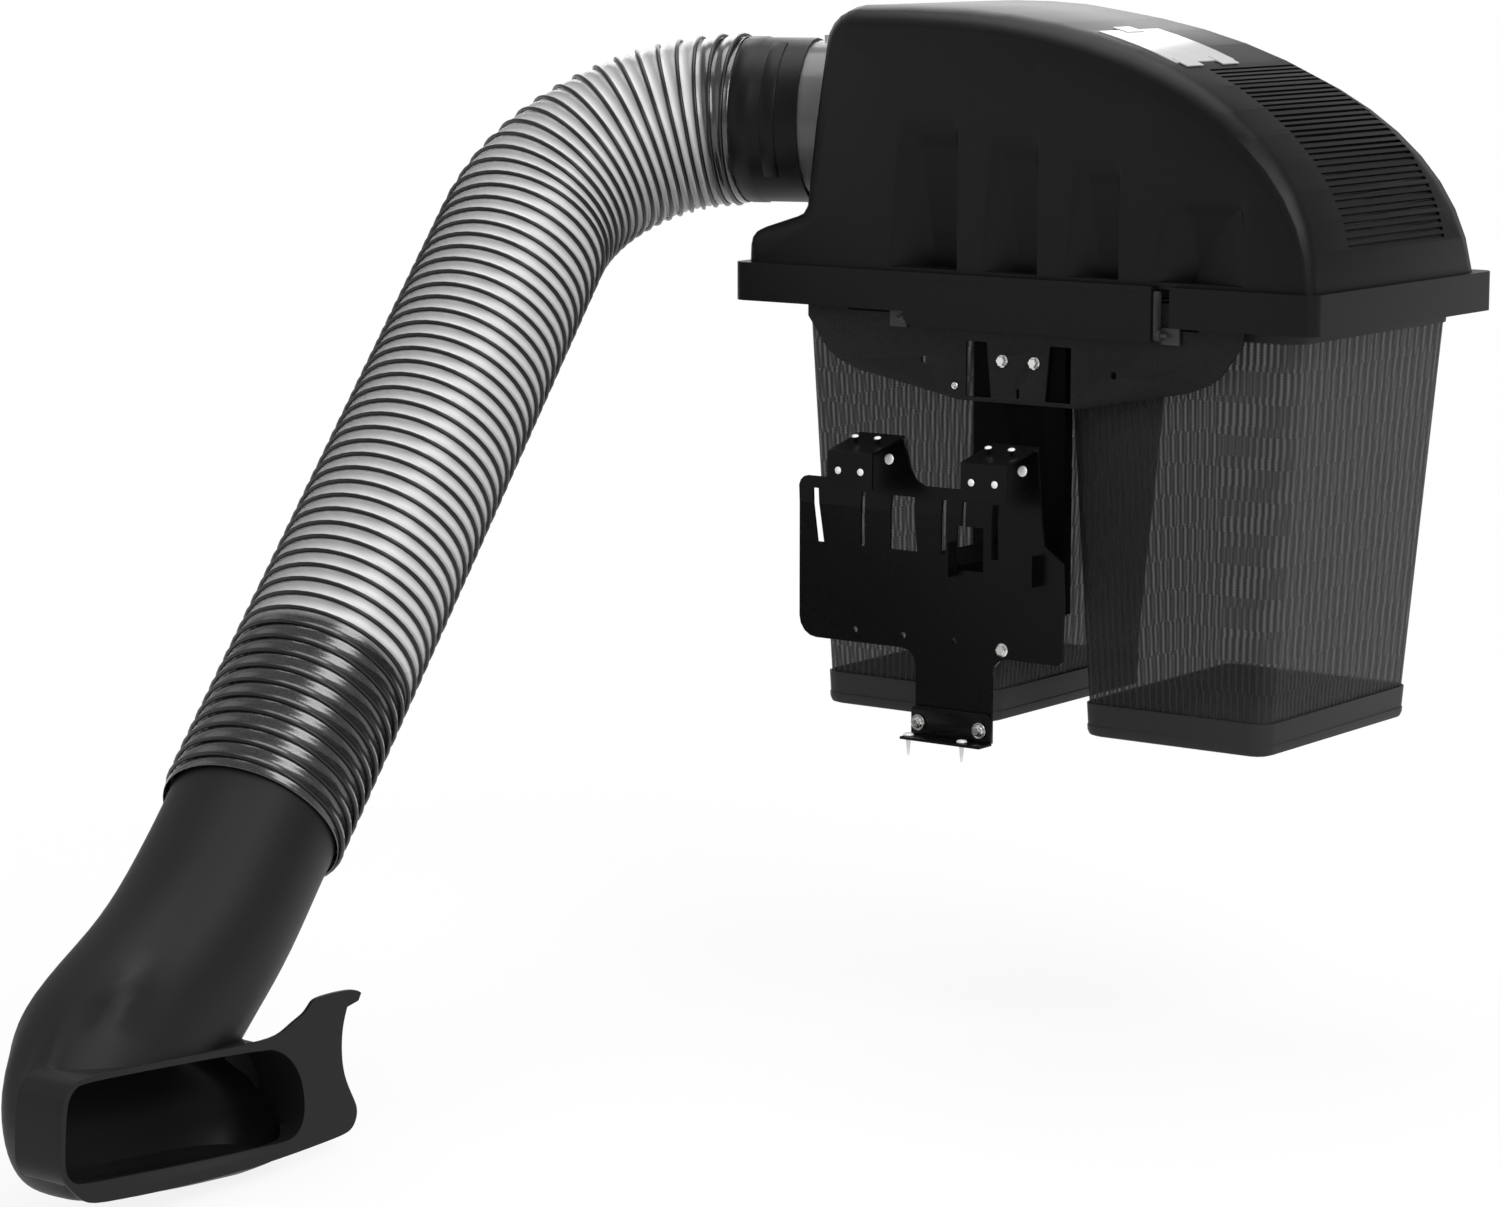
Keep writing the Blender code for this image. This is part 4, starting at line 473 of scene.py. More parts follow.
def net_cloth(name, settings):
    """Woven net: upright rows of open meshes, crossed by level rows of threads."""
    mat, graph = material(name, alpha=True)
    grid = graph.other(graph.node("ShaderNodeTexCoord"), "UV")
    split = graph.node("ShaderNodeSeparateXYZ", None, {0: grid})
    high = graph.other(split, "Y")
    ribs = (split * (2 * math.pi / settings.net_rib)).cosine() * 0.5 + 0.5
    rows = (high * (2 * math.pi / settings.net_pitch)).cosine() * 0.5 + 0.5
    hole = settings.net_open * (0.22 + 0.78 * ribs) * (0.72 + 0.28 * rows)
    cloud = noise(graph, place(graph), 12.0)
    color = tone(graph, cloud, grey(0.019, 0.01), grey(0.023, 0.01))
    surface(graph, {"Base Color": color, "Roughness": 0.55, "Alpha": 1 - hole, "Specular IOR Level": 0.2})
    return mat


def all_materials():
    """Make every finish once and return them by name."""
    look = bpy.context.scene.bagger_finish
    net = bpy.context.scene.bagger_bags
    hose = bpy.context.scene.bagger_hose
    black = look.plastic_level
    steel = look.steel_level
    return {
        "hood": moulded("hood_black_plastic", black, 0.40, 0.08, 900.0, 0.00010, 0.16),
        "boot": moulded("boot_black_plastic", black * 2.9, 0.50, 0.08, 700.0, 0.0002),
        "collar": moulded("collar_black_plastic", black, 0.42, 0.10, 800.0, 0.0002),
        "pan": moulded("pan_plastic", 0.022, 0.55, 0.10, 650.0, 0.0002),
        "hinge": coated("hinge_coat", 0.045, 0.5, 300.0, 0.0002, 0.1, 0.3),
        "screen": moulded("vent_screen_mesh", 0.045, 0.7, 0.1, 900.0, 0.0001),
        "plate": coated("plate_textured_coat", steel * 4.0, 0.50, 300.0, 0.0016, 0.75),
        "steel": coated("bracket_gloss_coat", steel, 0.30, 240.0, 0.0001, 0.1, 0.12),
        "post": coated("post_coat", steel * 0.5, 0.6, 300.0, 0.0001, 0.1, 0.04),
        "wire": moulded("hose_wire_coat", 0.006, 0.30, 0.08, 500.0, 0.0001, 0.4),
        "zinc": plated("zinc_plate", 0.72, 0.22),
        "rivet": plated("white_rivet", 0.86, 0.30, 0.15),
        "window": clear_sheet("window_clear", 0.52, 0.93, 0.16, 0.06),
        "neck": clear_sheet("neck_clear", 0.20, 0.60, 0.16, 0.05),
        "film": hose_skin("hose_film", hose),
        "net": net_cloth("bag_net", net),
    }


FINISH = {}


# Pieces

def hose_path(steps):
    """Return points along the hose's middle, from the collar to the boot."""
    turn = (HOSE_HEADING - NECK_OUT * NECK_OUT.dot(HOSE_HEADING)).normalized()
    angle = math.acos(NECK_OUT.dot(HOSE_HEADING))
    points = []
    for k in range(steps):
        t = angle * k / (steps - 1)
        side = 1 - math.cos(t)
        points.append(HOSE_START + (NECK_OUT * math.sin(t) + turn * side) * HOSE_BEND_RADIUS)
    end = points[-1]
    straight = [end + HOSE_HEADING * (HOSE_STRAIGHT * k / steps) for k in range(1, steps + 1)]
    return points + straight, HOSE_BEND_RADIUS * angle + HOSE_STRAIGHT


def line_mesh(name, points):
    """Return a mesh of one open line."""
    mesh = bpy.data.meshes.new(name)
    mesh.from_pydata([tuple(p) for p in points], [(k, k + 1) for k in range(len(points) - 1)], [])
    return mesh


def onto_path(graph, line, shape, factor, x, y):
    """Move a straight shape's points onto a path: factor along it, x and y across it."""
    sample = graph.node("GeometryNodeSampleCurve", {"mode": "FACTOR"}, {"Curves": line, "Factor": factor}, 1)
    tangent = graph.other(sample, "Tangent")
    normal = graph.other(sample, "Normal")
    side = graph.node("ShaderNodeVectorMath", {"operation": "CROSS_PRODUCT"}, {0: tangent, 1: normal})
    across = graph.node("ShaderNodeVectorMath", {"operation": "SCALE"}, {0: normal, "Scale": x})
    up = graph.node("ShaderNodeVectorMath", {"operation": "SCALE"}, {0: side, "Scale": y})
    both = graph.node("ShaderNodeVectorMath", {"operation": "ADD"}, {0: across, 1: up})
    where = graph.node("ShaderNodeVectorMath", {"operation": "ADD"}, {0: sample, 1: both})
    return graph.node("GeometryNodeSetPosition", None, {"Geometry": shape, "Position": where})


def wire_tree():
    """A wire wound round the path."""
    graph, given = new_tree("hose_wire", {
        "Turns": ("Float", 60.0), "Radius": ("Float", 0.1), "Length": ("Float", 1.0),
        "Wire": ("Float", 0.002), "Material": ("Material", None)})
    line = graph.node("GeometryNodeMeshToCurve", None, {0: given})
    spiral = graph.node("GeometryNodeCurveSpiral", None, {
        "Resolution": 44, "Rotations": graph.other(given, "Turns"), "Height": graph.other(given, "Length"),
        "Start Radius": graph.other(given, "Radius"), "End Radius": graph.other(given, "Radius")})
    spot = graph.node("GeometryNodeInputPosition")
    split = graph.node("ShaderNodeSeparateXYZ", None, {0: spot})
    factor = graph.other(split, "Z") / graph.other(given, "Length")
    wound = onto_path(graph, line, spiral, factor, split, graph.other(split, "Y"))
    ring = graph.node("GeometryNodeCurvePrimitiveCircle", None, {
        "Resolution": 7, "Radius": graph.other(given, "Wire")})
    tube = graph.node("GeometryNodeCurveToMesh", None, {
        "Curve": wound, "Profile Curve": ring, "Fill Caps": True})
    close_tree(graph, tube, graph.other(given, "Material"))
    return graph


def film_tree():
    """A film round the path that sags between the turns of the wire."""
    graph, given = new_tree("hose_film", {
        "Turns": ("Float", 60.0), "Radius": ("Float", 0.1), "Length": ("Float", 1.0), "Sag": ("Float", 0.002),
        "Around": ("Int", 56), "Rows": ("Int", 480), "Material": ("Material", None)})
    line = graph.node("GeometryNodeMeshToCurve", None, {0: given})
    tube = graph.node("GeometryNodeMeshCylinder", {"fill_type": "NONE"}, {
        "Vertices": graph.other(given, "Around"), "Side Segments": graph.other(given, "Rows"),
        "Radius": 1.0, "Depth": 1.0})
    spot = graph.node("GeometryNodeInputPosition")
    split = graph.node("ShaderNodeSeparateXYZ", None, {0: spot})
    high = graph.other(split, "Y")
    factor = graph.other(split, "Z") + 0.5
    angle = graph.node("ShaderNodeMath", {"operation": "ARCTAN2"}, {0: high, 1: split})
    phase = factor * graph.other(given, "Turns") * (2 * math.pi) - angle
    radius = graph.other(given, "Radius") - (1 - phase.cosine()) * graph.other(given, "Sag") * 0.5
    marked = graph.node("GeometryNodeStoreNamedAttribute", {"data_type": "FLOAT"}, {
        "Geometry": tube, "Name": "along", "Value": factor})
    waved = graph.node("GeometryNodeStoreNamedAttribute", {"data_type": "FLOAT"}, {
        "Geometry": marked, "Name": "wave", "Value": 0.5 - phase.cosine() * 0.5})
    bent = onto_path(graph, line, waved, factor, split * radius, high * radius)
    close_tree(graph, bent, graph.other(given, "Material"))
    return graph


def build_hose():
    """Wind the wire and lay the film under it."""
    settings = bpy.context.scene.bagger_hose
    points, length = hose_path(40)
    turns = float(round(length / settings.pitch))
    common = {"Turns": turns, "Length": length}
    wire = grown("hose_wire", wire_tree(), line_mesh("wire_path", points), {
        **common, "Radius": settings.radius - settings.wire, "Wire": settings.wire,
        "Material": FINISH["wire"]}, 60)
    film = grown("hose_film", film_tree(), line_mesh("film_path", points), {
        **common, "Radius": settings.radius - settings.wire * 1.2, "Sag": settings.sag,
        "Material": FINISH["film"]}, 60)
    wall = film.modifiers.new("wall", "SOLIDIFY")
    wall.thickness = FILM_WALL
    baked(film)
    for obj, slot in ((film, "hose_film"), (wire, "black_plastic")):
        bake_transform(obj)
    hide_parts("hose")


def fastener_tree():
    """One shape set at each point, along the point's axis."""
    graph, given = new_tree("fasteners", {"Shape": ("Object", None), "Material": ("Material", None)})
    shape = graph.other(graph.node("GeometryNodeObjectInfo", None, {"Object": graph.other(given, "Shape")}),
                        "Geometry")
    axis = graph.node("GeometryNodeInputNamedAttribute", {"data_type": "FLOAT_VECTOR"}, {"Name": "axis"})
    turn = graph.node("FunctionNodeAlignRotationToVector", {"axis": "Z"}, {"Vector": axis})
    dots = graph.node("GeometryNodeMeshToPoints", None, {0: given})
    copies = graph.node("GeometryNodeInstanceOnPoints", None, {
        "Points": dots, "Instance": shape, "Rotation": turn})
    close_tree(graph, copies, graph.other(given, "Material"))
    return graph


def fastener_set(name, graph, bm, spots, mat, body, slot, nodes, smooth=40):
    """Set one fastener at each spot (place, axis) and tie the set to its body."""
    shape = link(bpy.data.objects.new(name + "_shape", mesh_of(bm, name + "_shape")))
    seed = bpy.data.meshes.new(name + "_spots")
    seed.from_pydata([tuple(p) for p, axis in spots], [], [])
    axes = seed.attributes.new("axis", "FLOAT_VECTOR", "POINT")
    axes.data.foreach_set("vector", [c for p, axis in spots for c in axis])
    obj = grown(name, graph, seed, {"Shape": shape, "Material": mat}, smooth)
    bpy.data.objects.remove(shape)
    return finished(obj, body, slot, *nodes)


def head_spot(node, axis, height):
    """Return the point under a fastener's head: its solid's tip, less the head's height."""
    tip = max((v.co for v in NODES[node].data.vertices), key=lambda p: p.dot(axis))
    return Vector(tip) - axis * height


def hex_bolt(radius, height, shank, length):
    """Return a flanged hexagon head with its shank, the head's underside at zero."""
    bm = lathe([(0, 0.0), (radius, 0.0), (radius, height * 0.16), (radius * 0.84, height * 0.34),
                (0, height * 0.34)], 28)
    head = lathe([(0, height * 0.30), (radius * 0.82, height * 0.30), (radius * 0.82, height * 0.86),
                  (radius * 0.66, height), (0, height)], 6)
    stem = lathe([(0, -length), (shank * 0.85, -length), (shank, -length + 0.0008), (shank, 0.0004),
                  (0, 0.0004)], 16)
    for part in (head, stem):
        spare = mesh_of(part, "spare")
        bm.from_mesh(spare)
        bpy.data.meshes.remove(spare)
    return bm


def round_head(radius, height, shank, length):
    """Return a low domed rivet head with its shank, the head's underside at zero."""
    stem = [(0, -length), (shank, -length), (shank, 0.0)]
    dome = [(0.96, 0.0), (1.0, 0.15), (0.97, 0.40), (0.82, 0.74), (0.48, 0.95), (0.0, 1.0)]
    return lathe(stem + [(radius * wide, height * high) for wide, high in dome], 24)


def build_fasteners():
    """Set the bolts, washers, rivets and foot pins."""
    graph = fastener_tree()
    front = Vector((0, -1, 0))
    up = Vector((0, 0, 1))
    lean = math.radians(9.0)
    slope = math.radians(13.0)
    tongue = Vector((0, -math.cos(lean), math.sin(lean)))
    top = Vector((0, -math.sin(slope), math.cos(slope)))
    sides = ("left", "right")
    zinc = FINISH["zinc"]
    white = FINISH["rivet"]
    screw = lathe([(0, -0.0045), (0.0024, -0.0045), (0.0024, 0.0), (0.0048, 0.0), (0.0047, 0.0012),
                   (0.0036, 0.0024), (0.0016, 0.003), (0.0014, 0.0018), (0, 0.0018)], 20)
    washer = lathe([(0.0041, 0.0), (0.0089, 0.0), (0.0092, 0.0003), (0.0092, 0.0012), (0.0089, 0.0015),
                    (0.0041, 0.0015), (0.0041, 0.0)], 28)
    bmesh.ops.remove_doubles(washer, verts=washer.verts, dist=1e-6)
    bmesh.ops.recalc_face_normals(washer, faces=washer.faces)
    pin = lathe([(0, -0.0228), (0.0012, -0.0222), (0.0032, -0.0040), (0.0032, 0.0), (0.0058, 0.0),
                 (0.0061, 0.0006), (0.0060, 0.0014), (0.0048, 0.0026), (0, 0.0032)], 20)
    sets = (
        ("bolts", hex_bolt(0.0078, 0.0055, 0.0038, 0.0050), 0.0055, zinc, "zinc", 30,
         [(n, front) for n in ("mount_bolt_left", "mount_bolt_right", "bracket_bolt")]),
        ("foot_bolts", hex_bolt(0.0066, 0.0055, 0.0036, 0.0085), 0.0055, zinc, "zinc", 30,
         [(f"foot_bolt_{side}", front) for side in sides]),
        ("plate_screws", screw, 0.0030, zinc, "zinc", 40, [("plate_screw", front)]),
        ("face_rivets", round_head(0.0042, 0.0022, 0.0020, 0.0045), 0.0022, white, "white_metal", 50,
         [(f"rivet_{side}_{k}", front) for side in sides for k in (1, 3)]),
        ("top_stems", lathe([(0, -0.0100), (0.0020, -0.0100), (0.0020, 0.0001), (0, 0.0001)], 16), 0.0022,
         FINISH["steel"], "black_steel", 50, [(f"rivet_{side}_{k}", top) for side in sides for k in (2, 4)]),
        ("top_rivets", round_head(0.0042, 0.0022, 0.0020, 0.0003), 0.0022, white, "white_metal", 50,
         [(f"rivet_{side}_{k}", top) for side in sides for k in (2, 4)]),
        ("tongue_rivets", round_head(0.0062, 0.0022, 0.0020, 0.0045), 0.0022, white, "white_metal", 50,
         [(f"rivet_{side}_5", tongue) for side in sides]),
        ("foot_pins", pin, 0.0032, white, "white_metal", 40, [(f"foot_pin_{side}", up) for side in sides]),
    )
    for name, bm, height, mat, slot, smooth, places in sets:
        spots = [(head_spot(node, axis, height), axis) for node, axis in places]
        stands_for = [] if name == "top_stems" else [node for node, axis in places]
        fastener_set(name, graph, bm, spots, mat, "base", slot, stands_for, smooth)
    nodes = ["foot_washer_left", "foot_washer_right"]
    spots = []
    for node in nodes:
        low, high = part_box(node)
        spots.append((Vector(((low[0] + high[0]) / 2, high[1], (low[2] + high[2]) / 2)), front))
    fastener_set("foot_washers", graph, washer, spots, zinc, "base", "zinc", nodes)


def flute_depth(share, fall, depth):
    """Return how far a flute lies behind the hood's face: a slope at its left, a steep wall at its right."""
    first = 0.17 * (1.0 - fall)
    ramp = min(1.0, max(0.0, (share - first) / (FLUTE_RAMP - first)))
    wall = min(1.0, max(0.0, (1.0 - share) / 0.04))
    return depth * fall * min(1.0, fall * 4.0) * (0.5 * ramp + 0.5 * ramp * ramp * (3 - 2 * ramp)) * wall


def soft_flute(bm, tree, a, b, depth, top):
    """Put one flute with a soft left side in the place of a hard-edged one."""
    left, right, low, high = a - FLUTE_MARGIN, b + FLUTE_MARGIN, FLUTE_FOOT, top + FLUTE_MARGIN
    gone = []
    for face in bm.faces:
        spot = face.calc_center_median()
        if not (left < spot.x < right and low < spot.z < high and spot.y < RIM_FRONT + FLUTE_REACH):
            continue
        at_left = face.normal.x > 0.7 and abs(spot.x - a) < FLUTE_NEAR
        at_right = face.normal.x < -0.7 and abs(spot.x - b) < FLUTE_NEAR
        if face.normal.y < -0.4 or at_left or at_right:
            gone.append(face)
    bmesh.ops.delete(bm, geom=gone, context="FACES")
    wide = round((right - left) / PATCH_STEP)
    tall = round((high - low) / PATCH_STEP)
    rows = []
    for j in range(tall + 1):
        z = low + (high - low) * j / tall
        level = min(max(z, low + RAY_LIFT), high - RAY_LIFT)
        hits = [tree.ray_cast(Vector((x, -1.0, level)), Vector((0, 1, 0)))[0]
                for x in (left + RAY_INSET, right - RAY_INSET)]
        ends = [hit.y if hit else RIM_FRONT for hit in hits]
        row = []
        for i in range(wide + 1):
            x = left + (right - left) * i / wide
            y = ends[0] + (ends[1] - ends[0]) * i / wide
            if a < x < b and z < top:
                y += flute_depth((x - a) / (b - a), (top - z) / (top - low), depth)
            row.append(bm.verts.new((x, y, z)))
        rows.append(row)
    for one, two in zip(rows, rows[1:]):
        for k in range(wide):
            bm.faces.new((one[k], one[k + 1], two[k + 1], two[k]))


def cut(bm, spot, normal):
    """Cut a mesh's faces along a plane."""
    bmesh.ops.bisect_plane(bm, geom=bm.verts[:] + bm.edges[:] + bm.faces[:], plane_co=spot, plane_no=normal)


def hood_mesh():
    """Return the hood's moulding with soft flutes and rounded rim corners."""
    mesh = merged("hood_shell", flatten=True)
    bm = bmesh.new()
    bm.from_mesh(mesh)
    tree = BVHTree.FromBMesh(bm)
    half = RIM_WIDTH / 2
    near = RIM_FRONT + RIM_ROUND
    far = RIM_FRONT + RIM_DEPTH - RIM_ROUND
    steps = 5
    for k in range(1, steps + 1):
        inset = RIM_ROUND * k / steps
        for side in (half - inset, inset - half):
            cut(bm, (side, 0, 0), (1, 0, 0))
        for across in (RIM_FRONT + inset, RIM_FRONT + RIM_DEPTH - inset):
            cut(bm, (0, across, 0), (0, 1, 0))
    for vert in bm.verts:
        if vert.co.z > FLUTE_FOOT + 0.002:
            continue
        centre_x = math.copysign(half - RIM_ROUND, vert.co.x)
        centre_y = near if vert.co.y < RIM_FRONT + RIM_DEPTH / 2 else far
        out = Vector((vert.co.x - centre_x, vert.co.y - centre_y))
        corner = abs(vert.co.x) > half - RIM_ROUND and not near <= vert.co.y <= far
        if corner and out.length > 1e-6:
            out *= max(abs(out.x), abs(out.y)) / out.length
            vert.co.x, vert.co.y = centre_x + out.x, centre_y + out.y
    for a, b, depth, top in FLUTES:
        cut(bm, (a - FLUTE_MARGIN, 0, 0), (1, 0, 0))
        cut(bm, (b + FLUTE_MARGIN, 0, 0), (1, 0, 0))
        cut(bm, (0, 0, top + FLUTE_MARGIN), (0, 0, 1))
    cut(bm, (0, 0, FLUTE_FOOT), (0, 0, 1))
    bm.normal_update()
    for a, b, depth, top in FLUTES:
        soft_flute(bm, tree, a, b, depth, top)
    bm.to_mesh(mesh)
    bm.free()
    return mesh


def vent_screen():
    """Return the thin screen that lies behind the vents, just under the roof's wall."""
    bm = bmesh.new()
    bm.from_mesh(merged("hood_shell"))
    tree = BVHTree.FromBMesh(bm)
    bm.free()
    bm = bmesh.new()
    rows = []
    first, last = SCREEN_ANGLES
    steps = 48
    for k in range(steps + 1):
        angle = math.radians(first + (last - first) * k / steps)
        inward = Vector((-math.cos(angle), 0, -math.sin(angle)))
        starts = [Vector((SCREEN_MIDDLE[0], across, SCREEN_MIDDLE[1])) - inward for across in SCREEN_ENDS]
        hits = [tree.ray_cast(start, inward)[0] for start in starts]
        if all(hits):
            rows.append([bm.verts.new(hit + inward * SCREEN_DROP) for hit in hits])
    for one, two in zip(rows, rows[1:]):
        bm.faces.new((one[0], two[0], two[1], one[1]))
    bmesh.ops.solidify(bm, geom=bm.faces[:], thickness=SCREEN_WALL)
    bmesh.ops.recalc_face_normals(bm, faces=bm.faces)
    return mesh_of(bm, "vent_screen")


def build_hood():
    """Show the hood, its window, the clear neck and the black collar with its clamp band."""
    finished(piece("vent_screen", vent_screen(), FINISH["screen"], 40), "hood", "black_plastic")
    finished(piece("hood_shown", hood_mesh(), FINISH["hood"], 38), "hood", "black_plastic", "hood_shell")
    smoothed("hood_window", FINISH["window"], "hood", "clear_plastic", 30)
    smoothed("hood_neck", FINISH["neck"], "hood", "clear_plastic", 40)
    smoothed("hose_collar", FINISH["collar"], "hood", "black_plastic", 40)
    settings = bpy.context.scene.bagger_hose
    low = settings.band_start
    wide = settings.band_width
    thick = settings.band_height
    start = NECK_WALL + NECK_OUT * (COLLAR_START + low)
    side = Vector((0, 0, 1)).cross(NECK_OUT).normalized()
    section = [(0.0, -0.0002), (0.0, thick * 0.6), (0.0012, thick),
               (wide - 0.0012, thick), (wide, thick * 0.6), (wide, -0.0002)]
    bm = bmesh.new()
    rows = []
    steps = 40
    for k in range(steps + 1):
        angle = math.radians(settings.band_from + (settings.band_to - settings.band_from) * k / steps)
        out = side * math.cos(angle) + Vector((0, 0, 1)) * math.sin(angle)
        rows.append([bm.verts.new(start + NECK_OUT * along + out * (COLLAR_RADIUS + proud))
                     for along, proud in section])
    for a, b in zip(rows, rows[1:]):
        for k in range(len(section)):
            j = (k + 1) % len(section)
            bm.faces.new((a[k], a[j], b[j], b[k]))
    bm.faces.new(rows[0])
    bm.faces.new(list(reversed(rows[-1])))
    bmesh.ops.recalc_face_normals(bm, faces=bm.faces)
    finished(piece("collar_band", mesh_of(bm, "collar_band"), FINISH["collar"], 40), "hood", "black_plastic")


def build_boot():
    """Show the boot with the bulge beside its mouth."""
    mesh = merged("boot")
    bm = bmesh.new()
    bm.from_mesh(mesh)
    bmesh.ops.join_triangles(bm, faces=bm.faces, angle_face_threshold=math.radians(25),
                             angle_shape_threshold=math.radians(60))
    crease = bm.edges.layers.float.new("crease_edge")
    for edge in bm.edges:
        if len(edge.link_faces) != 2 or edge.calc_face_angle(0.0) > math.radians(42):
            edge[crease] = 1.0
    bm.to_mesh(mesh)
    bm.free()
    boot = piece("boot_shown", mesh, FINISH["boot"])
    rounded = boot.modifiers.new("rounded", "SUBSURF")
    rounded.levels = 2
    baked(boot)
    for vert in boot.data.vertices:
        away = (vert.co - BULGE_SPOT).length / BULGE_RADIUS
        if away < 3.0 and vert.normal.dot(BULGE_OUT) > 0.2:
            vert.co += BULGE_OUT * (BULGE_HEIGHT * math.exp(-away * away))
    shaded(boot.data, 40)
    finished(boot, "base", "black_plastic", "boot")


def bag_outline(drop, inset, radius, steps):
    """Return the right bag's level outline at a depth, from its inner front corner round."""
    share = drop / BAG_DROP
    inner, outer, front, back = (a + (b - a) * share for a, b in zip(BAG_TOP, BAG_FLOOR))
    x0, x1, y0, y1 = inner + inset, outer - inset, front + inset, back - inset
    points = []
    corners = ((x0 + radius, y0 + radius, 180), (x1 - radius, y0 + radius, 270),
               (x1 - radius, y1 - radius, 0), (x0 + radius, y1 - radius, 90))
    for x, y, first in corners:
        for k in range(steps + 1):
            angle = math.radians(first + 90 * k / steps)
            points.append((x + radius * math.cos(angle), y + radius * math.sin(angle)))
    return points


def net_mesh(name, side):
    """Return a bag's net walls with a UV map in metres along the threads."""
    high = BAND_DROP - NET_LAP
    low = BAG_DROP - PAN_HEIGHT + NET_LAP
    rows = 12
    bm = bmesh.new()
    uv = bm.loops.layers.uv.new("threads")
    rings = []
    lengths = []
    for k in range(rows + 1):
        drop = high + (low - high) * k / rows
        outline = bag_outline(drop, NET_INSET, 0.019, 6)
        ring = [bm.verts.new((BAG_MIDDLE + side * x, RIM_FRONT + y, RIM_BASE - drop)) for x, y in outline]
        rings.append(ring)
        total = [0.0]
        for a, b in zip(outline, outline[1:] + outline[:1]):
            total.append(total[-1] + math.dist(a, b))
        lengths.append((total, drop))
    count = len(rings[0])
    spans = zip(rings, rings[1:], lengths, lengths[1:])
    for top, bottom, (along_a, drop_a), (along_b, drop_b) in spans:
        for k in range(count):
            j = (k + 1) % count
            face = bm.faces.new((top[k], top[j], bottom[j], bottom[k]))
            spread = along_a[-1] / along_b[-1]
            marks = ((along_a[k], drop_a), (along_a[k + 1], drop_a), (along_b[k + 1] * spread, drop_b),
                     (along_b[k] * spread, drop_b))
            for loop, mark in zip(face.loops, marks):
                loop[uv].uv = mark
    bmesh.ops.recalc_face_normals(bm, faces=bm.faces)
    return mesh_of(bm, name)


def build_bags():
    """Hang both nets between their rims and pans."""
    for word, side in (("left", -1), ("right", 1)):
        net = piece(f"net_{word}", net_mesh(f"net_{word}", side), FINISH["net"], 40)
        finished(net, "base", "net", f"bag_net_{word}")
        smoothed(f"bag_pan_{word}", FINISH["pan"], "base", "bag_plastic", 32)
        smoothed(f"bag_rim_{word}", FINISH["pan"], "base", "bag_plastic", 32)


def build_metalwork():
    """Show the plate, the bracket and the foot angle with rounded edges, and coat the rest."""
    softened("mount_plate", FINISH["plate"], "base", "black_steel", 0.0004)
    softened("lower_bracket", FINISH["steel"], "base", "black_steel", 0.0006, 8)
    softened("foot_angle", FINISH["steel"], "base", "black_steel", 0.0006)
    softened("post", FINISH["post"], "base", "black_steel", 0.0010)
    for node in ("arm", "support_frame"):
        dressed(node, FINISH["post"])
    for node in ("hinge_arm_left", "hinge_arm_right", "hinge_bracket_left", "hinge_bracket_right",
                 "hinge_pin_left", "hinge_pin_right"):
        dressed(node, FINISH["hinge"])


def background_material():
    """The floor: pale, with the object's shadow, and white where the camera or a gloss sees it."""
    mat, graph = material("pale_floor")
    rays = graph.node("ShaderNodeLightPath")
    seen = rays + graph.other(rays, "Is Glossy Ray") + graph.other(rays, "Is Transmission Ray")
    matt = graph.node("ShaderNodeBsdfDiffuse", None, {"Color": (0.86, 0.86, 0.86, 1.0)})
    white = graph.node("ShaderNodeEmission", None, {"Color": (1.0, 1.0, 1.0, 1.0), "Strength": 1.0})
    near = graph.node("ShaderNodeVectorMath", {"operation": "LENGTH"}, {0: place(graph)}, 1)
    washed = bpy.context.scene.bagger_stage.floor_white
    ease = {"Value": near, "From Min": 0.8, "From Max": 2.6, "To Min": washed}
    keep = graph.node("ShaderNodeMapRange", {"interpolation_type": "SMOOTHSTEP"}, ease)
    both = graph.node("ShaderNodeMixShader", None, {0: seen * keep, 1: matt, 2: white})
    graph.node("ShaderNodeOutputMaterial", None, {0: both})
    return mat


def lamp(name, spot, target, width, power, height=None):
    """Hang one soft rectangular lamp."""
    data = bpy.data.lights.new(name, "AREA")
    data.shape = "RECTANGLE"
    data.size = width
    data.size_y = height or width
    data.energy = power
    obj = link(bpy.data.objects.new(name, data))
    obj.location = spot
    obj.rotation_euler = (Vector(target) - Vector(spot)).to_track_quat("-Z", "Y").to_euler()


